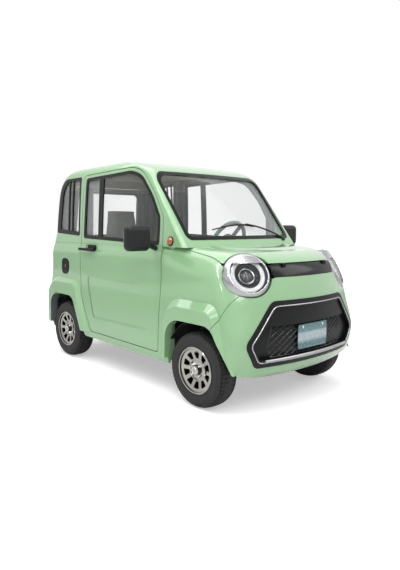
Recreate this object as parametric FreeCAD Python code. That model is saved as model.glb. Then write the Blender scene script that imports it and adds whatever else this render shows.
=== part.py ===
import FreeCAD, Part

# Two-door electric microcar. Millimetres, +Z up. It faces -Y, its left side is
# +X, and the origin is on the road under the middle of its bounding box.

import math
import os
from FreeCAD import Vector as V

# overall size and running gear
WHEELBASE = 1575.0
FRONT_AXLE = -772.0
REAR_AXLE = FRONT_AXLE + WHEELBASE
TRACK = 1060.0
FRONT_OVERHANG = 412.0
REAR_OVERHANG = 381.0
NOSE = FRONT_AXLE - FRONT_OVERHANG
TAIL = REAR_AXLE + REAR_OVERHANG
HALF_WIDTH = 592.0
TYRE_RADIUS = 228.5
TYRE_WIDTH = 145.0
RIM_RADIUS = 141.0
RIM_SEAT = 128.0
STEER_LOCK = 30.0
KINGPIN_X = 440.0

# window frames
SASH_BAR = 1087.0

# walls and gaps of the body
NOSE_WALL = 20.0
CABIN_WALL = 38.0
DOOR_THICKNESS = 62.0
PANEL_GAP = 5.0
SKIN_GAP = 0.4
GLASS_THICKNESS = 5.0
GLASS_DEPTH = 9.0

# heights
SILL_BOTTOM = 215.0
WAIST = 955.0
FLOOR_TOP = 300.0
FLOOR_SHEET = 12.0
ROOF_SPLIT = 1509.0
WHEELHOUSE_RADIUS = 290.0
FLARE_HALF_WIDTH = 618.0
FLARE_SLOPE = 46.0

# doors, hood and tailgate
DOOR_FRONT = FRONT_AXLE + 356
HOOD_FRONT_Z = 872.0
HOOD_REAR = FRONT_AXLE + 86
HOOD_HALF = 512.0
TAILGATE_BOTTOM = 600.0

# grille mesh
VISOR_Z = 520.0
MESH_HALF = 345.0
MESH_PITCH = 56.0
MESH_LEAN = 48.0

# lamps
LAMP_X = 420.0
LAMP_Y = FRONT_AXLE - 244
LAMP_Z = 806.0
LAMP_RADIUS = 143.0
LAMP_TOE = 25.5
LAMP_TILT = 27.0
EYELID_Z = 66.0

# Nose sections. Each row is a section tilted from the front height to the
# rear height: front z, rear z, side set-in at the front and at the rear,
# set-back of the nose, corner radius, bow of the front.
NOSE_ROWS = [
    (215, 215, 14, 10, 75, 85, 1900),
    (260, 260, 6, 3, 35, 85, 1900),
    (340, 340, 2, 0, 10, 88, 1900),
    (460, 460, 5, 4, 0, 100, 1850),
    (580, 580, 12, 12, 4, 160, 1500),
    (680, 680, 20, 22, 16, 205, 1380),
    (760, 765, 29, 27, 36, 265, 1380),
    (812, 835, 38, 24, 50, 305, 1360),
    (850, 885, 58, 25, 68, 305, 1360),
    (880, 930, 84, 34, 100, 285, 1360),
    (901, 965, 120, 50, 150, 250, 1360),
    (914, 983, 172, 95, 222, 210, 1360),
    (922, 993, 270, 180, 330, 150, 1360),
]
# Lower body: (height, distance) points of each smooth profile.
LOW_SIDE = [(215, 10), (260, 3), (340, 0), (460, 4), (580, 12), (680, 22), (765, 27), (835, 24), (885, 25),
            (930, 33), (955, 36)]
LOW_TAIL = [(215, 45), (260, 20), (340, 8), (460, 0), (680, 0), (765, 2), (835, 6), (885, 12), (930, 24), (955, 34)]
LOW_CORNER = [(215, 66), (340, 70), (680, 70), (955, 66)]
LOW_HEIGHTS = [215, 245, 290, 350, 430, 510, 590, 670, 740, 800, 850, 890, 925, 955]
# Greenhouse: set-in of the side, set-back of the windscreen behind the front
# axle, set-in of the tail, and the corner radii.
GREEN_SIDE = [(955, 36), (990, 38.5), (1030, 41), (1150, 45), (1300, 52), (1400, 58), (1455, 63), (1500, 72),
              (1530, 87), (1550, 110), (1562, 148), (1568, 212), (1572, 353)]
GREEN_SCREEN = [(955, 107), (1150, 252), (1300, 365), (1400, 443), (1455, 490), (1490, 550), (1515, 618),
                (1537, 700), (1552, 785), (1563, 885), (1572, 1020)]
GREEN_TAIL = [(955, 34), (990, 50), (1030, 60), (1150, 74), (1300, 90), (1400, 107), (1455, 126), (1500, 162),
              (1530, 215), (1550, 290), (1562, 390), (1572, 560)]
GREEN_FRONT_CORNER = [(955, 34), (1400, 34), (1455, 42), (1500, 60), (1550, 80), (1572, 80)]
GREEN_REAR_CORNER = [(955, 66), (1150, 66), (1400, 80), (1500, 110), (1550, 120), (1572, 110)]
GREEN_HEIGHTS = [955, 985, 1025, 1080, 1150, 1230, 1310, 1380, 1435, 1475, 1505, 1528, 1545, 1557, 1566, 1572]
SCREEN_BOW = 4200.0
TAIL_BOW = 5000.0


def unit(x, y):
    length = math.hypot(x, y)
    return x / length, y / length


def mirror(shape):
    return shape.mirror(V(0, 0, 0), V(1, 0, 0))


def box(x0, x1, y0, y1, z0, z1):
    return Part.makeBox(x1 - x0, y1 - y0, z1 - z0, V(x0, y0, z0))


def rod(start, end, radius):
    a = V(*start)
    d = V(*end) - a
    return Part.makeCylinder(radius, d.Length, a, d)


def disc_x(radius, x0, x1, y, z):
    return Part.makeCylinder(radius, x1 - x0, V(x0, y, z), V(1, 0, 0))


def fuse(shapes):
    out = shapes[0]
    for s in shapes[1:]:
        out = out.fuse(s)
    clean = out.removeSplitter()
    if not clean.isValid():
        clean = out
    return clean.Solids[0] if len(clean.Solids) == 1 else clean


def group(shapes):
    return Part.makeCompound(shapes)


def tidy(shape):
    solids = shape.Solids
    return solids[0] if len(solids) == 1 else Part.makeCompound(solids)


def largest(shape, count=1):
    solids = sorted(shape.Solids, key=lambda s: -s.Volume)[:count]
    return solids[0] if count == 1 else Part.makeCompound(solids)


def rounded_wire(points):
    """Closed wire in a plane through (point, radius) corners."""
    n = len(points)
    edges = []
    ends = []
    for i in range(n):
        p = points[i][0]
        r = points[i][1]
        a = (points[i - 1][0] - p).normalize()
        b = (points[(i + 1) % n][0] - p).normalize()
        if r == 0:
            ends.append((p, p, None))
            continue
        half = a.getAngle(b) / 2
        t = r / math.tan(half)
        mid = (a + b).normalize()
        centre = p + mid * (r / math.sin(half))
        ends.append((p + a * t, p + b * t, centre - mid * r))
    for i in range(n):
        start, stop, mid = ends[i]
        if mid is not None:
            edges.append(Part.Arc(start, mid, stop).toShape())
        nxt = ends[(i + 1) % n][0]
        if (nxt - stop).Length > 0.001:
            edges.append(Part.makeLine(stop, nxt))
    return Part.Wire(edges)


def side_wire(points, x=0.0):
    """Side-view outline from (y behind the front axle, z, corner radius)."""
    return rounded_wire([(V(x, FRONT_AXLE + p[0], p[1]), p[2]) for p in points])


def front_wire(points, y=0.0):
    """Front-view outline from (x, z, corner radius)."""
    return rounded_wire([(V(p[0], y, p[1]), p[2]) for p in points])


def inset(wire, distance):
    if distance == 0:
        return wire
    face = Part.Face(wire)
    out = face.makeOffset2D(-distance)
    return out.Wires[0]


def slab_x(wire, x0, x1):
    face = Part.Face(wire)
    face.translate(V(x0 - wire.BoundBox.XMin, 0, 0))
    return face.extrude(V(x1 - x0, 0, 0))


def slab_y(wire, y0, y1):
    face = Part.Face(wire)
    face.translate(V(0, y0 - wire.BoundBox.YMin, 0))
    return face.extrude(V(0, y1 - y0, 0))


def corner(bow_y, bow, sign, a, b, r):
    """Corner arc of radius r between a bowed end and a straight side."""
    cy = bow_y + sign * bow
    tx, ty = unit(b[0] - a[0], b[1] - a[1])
    nx, ny = -ty, tx
    if nx > 0:
        nx, ny = -nx, -ny
    px, py = a[0] + nx * r, a[1] + ny * r
    dx, dy = px, py - cy
    half = dx * tx + dy * ty
    rest = dx * dx + dy * dy - (bow - r) ** 2
    root = math.sqrt(half * half - rest)
    s = -half - root * sign
    kx, ky = px + s * tx, py + s * ty
    ux, uy = unit(kx, ky - cy)
    first = (ux * bow, cy + uy * bow)
    last = (kx - nx * r, ky - ny * r)
    mx, my = unit(ux - nx, uy - ny)
    return first, (kx + mx * r, ky + my * r), last


def outline(z, side_a, side_b, front, rear, front_r, rear_r, front_bow, flat_front=None, flat_rear=None):
    """Plan outline of the body at one height, as arcs and straight sides."""
    def at(p):
        return V(p[0], p[1], z)

    def other(p):
        return (-p[0], p[1])

    def side(y):
        return (side_a[0] + (side_b[0] - side_a[0]) * (y - side_a[1]) / (side_b[1] - side_a[1]), y)

    def arc(a, m, b):
        return Part.Arc(at(a), at(m), at(b)).toShape()

    edges = []
    if flat_front is None:
        f1, fm, f2 = corner(front, front_bow, 1, side_a, side_b, front_r)
        edges.append(arc(other(f1), (0, front), f1))
        edges.append(arc(f1, fm, f2))
    else:
        f2 = side(flat_front)
        edges.append(Part.makeLine(at(other(f2)), at(f2)))
    if flat_rear is None:
        r1, rm, r2 = corner(rear, TAIL_BOW, -1, side_a, side_b, rear_r)
        edges.append(Part.makeLine(at(f2), at(r2)))
        edges.append(arc(r2, rm, r1))
        edges.append(arc(r1, (0, rear), other(r1)))
        edges.append(arc(other(r1), other(rm), other(r2)))
    else:
        r2 = side(flat_rear)
        edges.append(Part.makeLine(at(f2), at(r2)))
        edges.append(Part.makeLine(at(r2), at(other(r2))))
    edges.append(Part.makeLine(at(other(r2)), at(other(f2))))
    if flat_front is None:
        edges.append(arc(other(f2), other(fm), other(f1)))
    return Part.Wire(edges)


def slope(values, heights, i):
    a = max(i - 1, 0)
    b = min(i + 1, len(values) - 1)
    return (values[b] - values[a]) / (heights[b] - heights[a])


class Profile:
    """Smooth curve through (height, distance) points that never overshoots."""

    def __init__(self, points):
        h = [q[0] for q in points]
        v = [q[1] for q in points]
        d = [(v[i + 1] - v[i]) / (h[i + 1] - h[i]) for i in range(len(h) - 1)]
        m = [d[0]] + [0.0] * (len(h) - 2) + [d[-1]]
        for i in range(1, len(h) - 1):
            if d[i - 1] * d[i] > 0:
                w1 = 2 * (h[i + 1] - h[i]) + (h[i] - h[i - 1])
                w2 = (h[i + 1] - h[i]) + 2 * (h[i] - h[i - 1])
                m[i] = (w1 + w2) / (w1 / d[i - 1] + w2 / d[i])
        self.h, self.v, self.m = h, v, m

    def at(self, z):
        """Distance and slope at a height."""
        i = 0
        while i < len(self.h) - 2 and z > self.h[i + 1]:
            i += 1
        step = self.h[i + 1] - self.h[i]
        t = (z - self.h[i]) / step
        v0, v1, m0, m1 = self.v[i], self.v[i + 1], self.m[i] * step, self.m[i + 1] * step
        value = (2 * t**3 - 3 * t**2 + 1) * v0 + (t**3 - 2 * t**2 + t) * m0
        value += (3 * t**2 - 2 * t**3) * v1 + (t**3 - t**2) * m1
        grade = (6 * t**2 - 6 * t) * (v0 - v1) + (3 * t**2 - 4 * t + 1) * m0 + (3 * t**2 - 2 * t) * m1
        return value, grade / step


def nose_solid(depth=0.0, rear_y=FRONT_AXLE + 430):
    """Hood, wings and bumper as one solid, its skin moved in by depth."""
    wires = []
    zf = [r[0] for r in NOSE_ROWS]
    zr = [r[1] for r in NOSE_ROWS]
    last = len(NOSE_ROWS) - 1
    for i, (a, b, c, d, e, r, bow) in enumerate(NOSE_ROWS):
        mf = slope([q[2] for q in NOSE_ROWS], zf, i)
        mr = slope([q[3] for q in NOSE_ROWS], zr, i)
        ms = slope([q[4] for q in NOSE_ROWS], zf, i)
        tip = math.atan((mf + ms) / 2)
        dz = depth * math.sin(max(tip, 0)) if i > 5 else 0
        if i == last:
            dz = depth
        hf = HALF_WIDTH - c + mf * dz - depth * math.hypot(1, mf)
        hr = HALF_WIDTH - d + mr * dz - depth * math.hypot(1, mr)
        fy = NOSE + e - ms * dz + depth * math.hypot(1, ms)
        drop = depth if i == 0 else 0
        z0, z1 = a - dz - drop, b - dz - drop
        rr = max(r - depth * math.cos(tip), 40)
        side_a = (hf, FRONT_AXLE - 150)
        side_b = (hr, FRONT_AXLE + 430)
        w = outline(z1, side_a, side_b, fy, 0, rr, 0, bow, flat_rear=rear_y + (depth and 10))
        turn = math.degrees(math.atan((b - a) / (rear_y - NOSE)))
        if turn:
            w.rotate(V(0, rear_y, z1), V(1, 0, 0), turn)
        wires.append(w)
    return Part.makeLoft(wires, True, False, False, 5)


def low_solid(depth=0.0, front_y=FRONT_AXLE + 200):
    """Body below the belt, its skin moved in by depth."""
    side, tail, round_r = Profile(LOW_SIDE), Profile(LOW_TAIL), Profile(LOW_CORNER)
    wires = []
    for z in LOW_HEIGHTS:
        c, m = side.at(z)
        e, ms = tail.at(z)
        h = HALF_WIDTH - c - depth * math.hypot(1, m)
        ry = TAIL - e - depth * math.hypot(1, ms)
        zz = z
        if depth > 0 and z == LOW_HEIGHTS[0]:
            zz -= 20
        if depth > 0 and z == LOW_HEIGHTS[-1]:
            zz += 5
        ends = (h, FRONT_AXLE), (h, FRONT_AXLE + 1500)
        y0 = front_y - (10 if depth else 0)
        r = max(round_r.at(z)[0] - depth, 30)
        wires.append(outline(zz, ends[0], ends[1], 0, ry, 0, r, 0, flat_front=y0))
    return Part.makeLoft(wires, True, False, False, 5)


def green_solid(depth=0.0):
    """Greenhouse and roof above the belt, its skin moved in by depth."""
    side, screen, tail = Profile(GREEN_SIDE), Profile(GREEN_SCREEN), Profile(GREEN_TAIL)
    front_r, rear_r = Profile(GREEN_FRONT_CORNER), Profile(GREEN_REAR_CORNER)
    wires = []
    for z in GREEN_HEIGHTS:
        c, m = side.at(z)
        f, mf = screen.at(z)
        e, ms = tail.at(z)
        tip = math.atan((m + ms) / 2)
        share = min(max((z - 1400) / 120, 0), 1)
        dz = depth * math.sin(tip) * share
        if z == GREEN_HEIGHTS[-1]:
            dz = depth
        h = HALF_WIDTH - c + m * dz - depth * math.hypot(1, m)
        fy = FRONT_AXLE + f - mf * dz + depth * math.hypot(1, mf)
        ry = TAIL - e + ms * dz - depth * math.hypot(1, ms)
        zz = z - dz - (5 if depth > 0 and z == GREEN_HEIGHTS[0] else 0)
        ends = (h, FRONT_AXLE), (h, FRONT_AXLE + 1500)
        rf = max(front_r.at(z)[0] - depth, 30)
        rr = max(rear_r.at(z)[0] - depth, 30)
        wires.append(outline(zz, ends[0], ends[1], fy, ry, rf, rr, SCREEN_BOW))
    return Part.makeLoft(wires, True, False, False, 5)


# side outlines: y behind the front axle, z, corner radius
DOOR_LINE = [
    (356, 265, 30), (356, 1150, 60), (450, 1310, 500), (600, 1474, 220), (735, 1507, 300), (1385, 1493, 45),
    (1402, 740, 300), (1350, 520, 200), (1198, 265, 30),
]
DOOR_WINDOW_LINE = [
    (392, 963, 20), (389, 1152, 50), (474, 1297, 400), (606, 1444, 200), (735, 1481, 240), (1345, 1468, 25),
    (1362, 992, 25),
]
DOOR_GLASS_LINE = [
    (416, 989, 16), (415, 1150, 40), (493, 1283, 380), (616, 1420, 180), (738, 1455, 220), (1322, 1444, 18),
    (1336, 1018, 18),
]
DOOR_PANEL_LINE = [(1298, 706, 40), (545, 690, 150), (462, 560, 80), (474, 392, 30), (1165, 378, 40)]
QUARTER_LINE = [(1424, 1009, 20), (1424, 1484, 20), (1690, 1484, 120), (1786, 1390, 150), (1815, 1030, 30)]
QUARTER_GLASS_LINE = [(1446, 1044, 14), (1446, 1462, 14), (1650, 1462, 100), (1722, 1372, 130), (1752, 1060, 20)]
SCREEN_LINE = [(-503, 1000, 40), (-514, 1464, 85), (514, 1464, 85), (503, 1000, 40)]
SCREEN_GLASS_LINE = [(-478, 1024, 26), (-489, 1438, 66), (489, 1438, 66), (478, 1024, 26)]
TAILGATE_LINE = [(-405, 600, 60), (-405, 1440, 70), (405, 1440, 70), (405, 600, 60)]
REAR_GLASS_LINE = [(-345, 1010, 45), (-330, 1385, 45), (330, 1385, 45), (345, 1010, 45)]

# wheel arches and the lips round them: y from the axle, z, corner radius
FRONT_ARCH = [(262, 60, 0), (258, 512, 130), (-141, 514, 100), (-400, 60, 0)]
REAR_ARCH = [(252, 60, 0), (252, 520, 110), (-121, 520, 110), (-351, 60, 0)]
FRONT_LIP = [(322, 60, 0), (318, 628, 170), (-150, 628, 90), (-357, 60, 0)]
REAR_LIP = [(330, 60, 0), (330, 640, 150), (-153, 636, 120), (-466, 60, 0)]
GRILLE_LINE = [(-455, 288, 45), (-535, 425, 55), (-338, 664, 65), (338, 664, 65), (535, 425, 55), (455, 288, 45)]

# outer and inner volumes of the body
nose_outer = nose_solid()
nose_inner = nose_solid(NOSE_WALL)
low_outer = low_solid()
green_outer = green_solid()
low_inner = low_solid(CABIN_WALL)
green_inner = green_solid(CABIN_WALL)


def grown(points, distance):
    """Convex outline of (y, z, radius) corners moved outwards by a distance."""
    n = len(points)
    area = sum(points[i - 1][0] * points[i][1] - points[i][0] * points[i - 1][1] for i in range(n))
    turn = 1 if area > 0 else -1
    lines = []
    for i in range(n):
        a, b = points[i], points[(i + 1) % n]
        dx, dz = unit(b[0] - a[0], b[1] - a[1])
        lines.append((a[0] + dz * distance * turn, a[1] - dx * distance * turn, dx, dz))
    out = []
    for i in range(n):
        x0, z0, dx0, dz0 = lines[i - 1]
        x1, z1, dx1, dz1 = lines[i]
        t = ((x1 - x0) * dz1 - (z1 - z0) * dx1) / (dx0 * dz1 - dz0 * dx1)
        r = points[i][2]
        out.append((x0 + dx0 * t, z0 + dz0 * t, max(r + distance, 8) if r else 0))
    return out


def arch_wire(points, axle, x):
    return side_wire([(p[0] + axle - FRONT_AXLE, p[1], p[2]) for p in points], x)


def arch_tool(points, axle, x0, x1):
    return slab_x(arch_wire(points, axle, x0), x0, x1)


def flare(lip, arch, axle):
    """Raised lip round a wheel arch, on the right side."""
    root = arch_wire(grown(lip, FLARE_SLOPE * 0.28), axle, -HALF_WIDTH + 18)
    face = arch_wire(grown(lip, -FLARE_SLOPE * 0.72), axle, -FLARE_HALF_WIDTH)
    body = Part.makeLoft([root, face], True, True, False)
    crest = [e for e in body.Edges if e.BoundBox.XMax < -FLARE_HALF_WIDTH + 1 and e.BoundBox.ZMax > 100]
    body = body.makeFillet(14, crest)
    body = body.cut(arch_tool(arch, axle, -800, -300))
    return body.cut(box(-800, 0, axle - 600, axle + 600, -300, SILL_BOTTOM + 42))


parts = {}
right_arch = arch_tool(FRONT_ARCH, FRONT_AXLE, -800, -300)
rear_arch = arch_tool(REAR_ARCH, REAR_AXLE, -800, -440)
wheel_sweep = disc_x(WHEELHOUSE_RADIUS, -HALF_WIDTH + NOSE_WALL + 6, -250, FRONT_AXLE, TYRE_RADIUS)
screen_open = slab_y(front_wire(SCREEN_LINE), FRONT_AXLE + 50, FRONT_AXLE + 760)

# lamp axis, from the bowl outwards, on the left side
lamp_axis = V(math.sin(math.radians(LAMP_TOE)) * math.cos(math.radians(LAMP_TILT)),
              -math.cos(math.radians(LAMP_TOE)) * math.cos(math.radians(LAMP_TILT)),
              math.sin(math.radians(LAMP_TILT)))
lamp_centre = V(LAMP_X, LAMP_Y, LAMP_Z)


def lamp_cylinder(radius, back, front, taper=None):
    start = lamp_centre + lamp_axis * back
    if taper is None:
        return Part.makeCylinder(radius, front - back, start, lamp_axis)
    return Part.makeCone(taper, radius, front - back, start, lamp_axis)


lamp_hole = lamp_cylinder(LAMP_RADIUS + SKIN_GAP, -160, 120)
hood_lamp_hole = lamp_cylinder(LAMP_RADIUS + PANEL_GAP, -160, 120)
lamp_holes = group([lamp_hole, mirror(lamp_hole)])
grille_hole = slab_y(front_wire(GRILLE_LINE), NOSE - 60, FRONT_AXLE - 260)
strip_line = [(-296, 794.3, 18), (-296, 868, 18), (296, 868, 18), (296, 794.3, 18)]
strip_hole = box(-330, 330, NOSE - 60, FRONT_AXLE - 200, 796, HOOD_FRONT_Z)


def hood_plan(grow, z):
    """Hood outline in plan, grown by a gap, as a prism above the leading edge."""
    half = HOOD_HALF + grow
    rear = HOOD_REAR + grow
    edges = [
        Part.Arc(V(-half, rear + 62, z), V(0, rear, z), V(half, rear + 62, z)).toShape(),
        Part.makeLine(V(half, rear + 62, z), V(half, NOSE - 40, z)),
        Part.makeLine(V(half, NOSE - 40, z), V(-half, NOSE - 40, z)),
        Part.makeLine(V(-half, NOSE - 40, z), V(-half, rear + 62, z)),
    ]
    return Part.Face(Part.Wire(edges)).extrude(V(0, 0, 300))


hood_clear = hood_plan(PANEL_GAP / 2, HOOD_FRONT_Z)
hood = nose_outer.common(hood_plan(-PANEL_GAP / 2, HOOD_FRONT_Z + 2)).cut(nose_inner).cut(group([hood_lamp_hole, mirror(hood_lamp_hole)]))
parts["hood"] = largest(hood)

# the seam from the lamp down to the arch parts the bumper from the wings
screen_foot = Part.Face(outline(
    850, (HALF_WIDTH + 5, FRONT_AXLE), (HALF_WIDTH + 5, FRONT_AXLE + 1500),
    FRONT_AXLE + 128, TAIL, 34, 66, SCREEN_BOW)).extrude(V(0, 0, 300))
pillar_foot = screen_foot.common(box(-800, 800, -1500, 1500, WAIST - SKIN_GAP, 1200))


def ahead_of_seam(shift):
    pts = [(-700, 100, 0), (-120 + shift, 100, 0), (-120 + shift, 420, 0), (-150 + shift, 500, 60),
           (-243 + shift, 660, 80), (-350 + shift, 810, 0), (-700, 810, 0)]
    return slab_x(side_wire(pts), -800, 800)


bumper = nose_outer.common(ahead_of_seam(0)).common(box(-800, 800, -1500, 0, 0, 794))
bumper = bumper.cut(nose_inner).cut(grille_hole).cut(lamp_holes)
front_flare = flare(FRONT_LIP, FRONT_ARCH, FRONT_AXLE)
flare_tip = front_flare.common(ahead_of_seam(0))
bumper = bumper.cut(group([wheel_sweep, mirror(wheel_sweep)])).cut(group([right_arch, mirror(right_arch)]))
bumper = bumper.fuse(flare_tip).fuse(mirror(flare_tip))
parts["front_bumper"] = largest(bumper)

wing_box = box(-800, -300, NOSE - 20, DOOR_FRONT - 1, 0, 1100)
wing = nose_outer.common(wing_box).cut(nose_inner).cut(ahead_of_seam(4))
wing = wing.cut(hood_clear).cut(mirror(lamp_hole)).cut(right_arch).cut(pillar_foot)
wing = wing.common(box(-800, -HOOD_HALF - 2.5, -2000, 0, 700, 1200).fuse(box(-800, -300, -2000, 0, 0, 700)))
flare_back = front_flare.cut(ahead_of_seam(4))
wing = largest(wing.fuse(flare_back))
parts["front_fenders"] = group([wing, mirror(wing)])

cowl_box = box(-HOOD_HALF + 0.5, HOOD_HALF - 0.5, HOOD_REAR - 20, DOOR_FRONT - PANEL_GAP, 820, 1100)
cowl = nose_outer.common(cowl_box).cut(nose_inner).cut(hood_clear).cut(screen_foot)
screen_sill = green_outer.common(box(-441.6, 441.6, FRONT_AXLE, FRONT_AXLE + 400, 957, 1003)).cut(green_inner)
screen_sill = screen_sill.cut(screen_open)
parts["cowl"] = largest(largest(cowl).fuse(largest(screen_sill)))

# strip between the lamps, grille and its mesh
strip = nose_outer.common(slab_y(front_wire(strip_line), NOSE - 60, FRONT_AXLE - 200)).cut(nose_solid(14))
strip = largest(strip.cut(lamp_holes))
for x in (-200, 200):
    strip = strip.fuse(box(x - 15, x + 15, NOSE + 78, NOSE + 92, 850, HOOD_FRONT_Z + 1.7))
parts["nose_strip"] = strip.Solids[0]
grille_in = front_wire(GRILLE_LINE)


def grille_slab(margin):
    return slab_y(inset(grille_in, margin), NOSE - 60, FRONT_AXLE - 200)


surround = nose_solid(-4).common(grille_slab(SKIN_GAP)).cut(nose_solid(30)).cut(grille_slab(44))
panel = nose_solid(25).common(grille_slab(40)).cut(nose_solid(30))
visor = nose_solid(7).common(grille_slab(42).common(box(-600, 600, -2000, 0, VISOR_Z, 700))).cut(nose_solid(13))
mesh_area = grille_slab(58).common(box(-MESH_HALF, MESH_HALF, -2000, 0, 200, VISOR_Z - 6))
bars = []
count = int((MESH_HALF + 200) / MESH_PITCH)
for i in range(-count, count + 1):
    for lean in (-MESH_LEAN, MESH_LEAN):
        bar = box(-4, 4, NOSE - 30, FRONT_AXLE - 230, -260, 260)
        bar.rotate(V(0, 0, 0), V(0, 1, 0), lean)
        bar.translate(V(i * MESH_PITCH, 0, 405))
        bars.append(bar)
mesh_shell = nose_solid(15).common(mesh_area).cut(nose_solid(26))
mesh = mesh_shell.common(group(bars))
grille = surround.fuse(panel).fuse(visor).fuse(mesh)
parts["grille"] = largest(grille.cut(group([wheel_sweep, mirror(wheel_sweep)])))

# headlamps: bezel ring, bowl and projector
def lamp_turned(profile):
    """Ring of revolution about the left lamp's axis from (radius, depth) corners."""
    pts = [V(q[0], 0, q[1]) for q in profile]
    ring = Part.Face(Part.makePolygon(pts + [pts[0]])).revolve(V(0, 0, 0), V(0, 0, 1), 360)
    ring.Placement = FreeCAD.Placement(lamp_centre, FreeCAD.Rotation(V(0, 0, 1), lamp_axis))
    return ring


R = LAMP_RADIUS
bezel = lamp_turned([(R, -70), (R, 2), (R - 3, 7), (R - 8, 9), (R - 13, 7), (R - 17, 0), (R - 17, -14), (R - 8, -20),
                     (R - 8, -70)])
eyelid = lamp_turned([(0.01, -8), (0.01, 3), (R - 40, 5), (R - 16.5, 2), (R - 16.5, -8)])
eyelid = eyelid.common(box(0, 800, -1500, 0, LAMP_Z + EYELID_Z, 1200))
lamp_one = largest(bezel.fuse(eyelid))
parts["headlamps"] = group([lamp_one, mirror(lamp_one)])
core = lamp_turned([(0.01, -66), (0.01, -18), (20, -20), (36, -27), (44, -38), (44, -52), (78, -50), (92, -30),
                    (92, -16), (112, -16), (112, -26), (R - 8.4, -26), (R - 8.4, -34), (100, -60), (60, -66)])
parts["lamp_cores"] = group([core, mirror(core)])

# door: skin, inner panel and window frame in one
right_box = box(-800, -200, -1500, 1500, 0, 1700)
door_wire = side_wire(DOOR_LINE)
door_open = slab_x(door_wire, -800, -300)
door_tool = slab_x(inset(door_wire, PANEL_GAP), -800, -300)
window_open = slab_x(side_wire(DOOR_WINDOW_LINE), -800, -300)
quarter_open = slab_x(side_wire(QUARTER_LINE), -800, -330)
rear_flare = flare(REAR_LIP, REAR_ARCH, REAR_AXLE).common(low_solid(-FLARE_HALF_WIDTH + HALF_WIDTH - 3)).cut(door_open)
door_low = low_outer.common(door_tool).cut(low_solid(DOOR_THICKNESS))
recess_a = slab_x(side_wire(DOOR_PANEL_LINE), -800, -300)
recess_b = slab_x(side_wire(grown(DOOR_PANEL_LINE, -9)), -800, -300)
door_low = door_low.cut(recess_a.cut(low_solid(2))).cut(recess_b.cut(low_solid(4.5)))
door_high = green_outer.common(door_tool).cut(green_inner).cut(window_open)
parts["door_right"] = largest(door_low.fuse(door_high))
parts["door_left"] = mirror(parts["door_right"])

# roof skin with the header over the windscreen
roof_box = box(-800, 800, -1000, 1500, ROOF_SPLIT, 1700)
header_box = box(-441.6, 441.6, FRONT_AXLE + 300, FRONT_AXLE + 760, 1400, 1600)
header_box = header_box.cut(slab_x(inset(door_wire, -SKIN_GAP), -800, -300)).cut(
    slab_x(inset(door_wire, -SKIN_GAP), 300, 800))
roof = green_outer.common(roof_box.fuse(header_box)).cut(green_inner).cut(screen_open)
half_roof = largest(roof.common(box(0, 800, -1000, 1500, 1300, 1700)))
parts["roof_panel"] = largest(half_roof.fuse(mirror(half_roof)).removeSplitter())

# body side: sill, pillars and rear quarter
side_low = low_outer.common(box(-800, -442, DOOR_FRONT - 0.5, 1500, 0, 1000)).cut(low_inner).fuse(rear_flare)
side_high = green_outer.common(box(-800, -442, -1500, 1500, 900, ROOF_SPLIT - 0.4)).cut(green_inner)
side = side_low.fuse(side_high)
pillar_box = box(-800, -442, FRONT_AXLE + 262, DOOR_FRONT + 1, 230, 990)
pillar = low_solid(22).common(pillar_box).cut(low_solid(60))
side = side.fuse(pillar).cut(door_open).cut(quarter_open).cut(rear_arch).cut(screen_open)
side = side.cut(nose_solid(-1).cut(box(-800, 800, -1500, 0, 0, 955)).common(right_box))
side = largest(side.common(box(-800, -442, -1500, 1500, 0, 1700)).cut(wing))
parts["side_panel_right"] = side
parts["side_panel_left"] = mirror(side)

# tail: frame round the opening, and the tailgate in it
tail_box = box(-441.6, 441.6, REAR_AXLE + 130, 1500, 0, ROOF_SPLIT - 0.4)
tail_open = slab_y(front_wire(TAILGATE_LINE), FRONT_AXLE + 1500, TAIL + 100)
tail_tool = slab_y(inset(front_wire(TAILGATE_LINE), PANEL_GAP), FRONT_AXLE + 1500, TAIL + 100)
glass_open = slab_y(front_wire(REAR_GLASS_LINE), FRONT_AXLE + 1500, TAIL + 100)
cabin_outer = low_outer.fuse(green_outer).common(box(-460, 460, REAR_AXLE + 100, 1500, 0, 1700))
tail = cabin_outer.cut(low_inner).cut(green_inner)
parts["tailgate"] = largest(tail.common(tail_tool).cut(glass_open))
tail_stop = box(-60, 60, TAIL - 34, TAIL - 12, 585, TAILGATE_BOTTOM + PANEL_GAP - 0.3)
parts["rear_panel"] = largest(largest(tail.common(tail_box).cut(tail_open)).fuse(tail_stop))

# glass, set in from the skin
pane_outer = green_solid(GLASS_DEPTH)
pane_inner = green_solid(GLASS_DEPTH + GLASS_THICKNESS)


def pane(wire, along_x):
    small = inset(wire, SKIN_GAP)
    if along_x:
        tool = slab_x(small, -800, -330)
    elif wire is rear_wire:
        tool = slab_y(small, FRONT_AXLE + 1500, TAIL + 100)
    else:
        tool = slab_y(small, FRONT_AXLE + 50, FRONT_AXLE + 760)
    return largest(pane_outer.common(tool).cut(pane_inner))


rear_wire = front_wire(REAR_GLASS_LINE)
parts["windshield"] = pane(front_wire(SCREEN_LINE), False)
parts["tailgate_glass"] = pane(rear_wire, False)
parts["door_glass_right"] = pane(side_wire(DOOR_WINDOW_LINE), True)
parts["door_glass_left"] = mirror(parts["door_glass_right"])
quarter = pane(side_wire(QUARTER_LINE), True)
parts["quarter_windows"] = group([quarter, mirror(quarter)])

# black window frames, proud of the skin and over the glass
frame_shell = green_solid(-1.5).cut(green_solid(GLASS_DEPTH - SKIN_GAP))


def frame_ring(outer, inner, wires):
    ring = inset(outer, SKIN_GAP)
    if wires is side_wire:
        tool = slab_x(ring, -800, -330).cut(slab_x(inner, -800, -330))
    else:
        tool = slab_y(ring, FRONT_AXLE + 50, FRONT_AXLE + 760).cut(slab_y(inner, FRONT_AXLE + 50, FRONT_AXLE + 760))
    return tool


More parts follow.
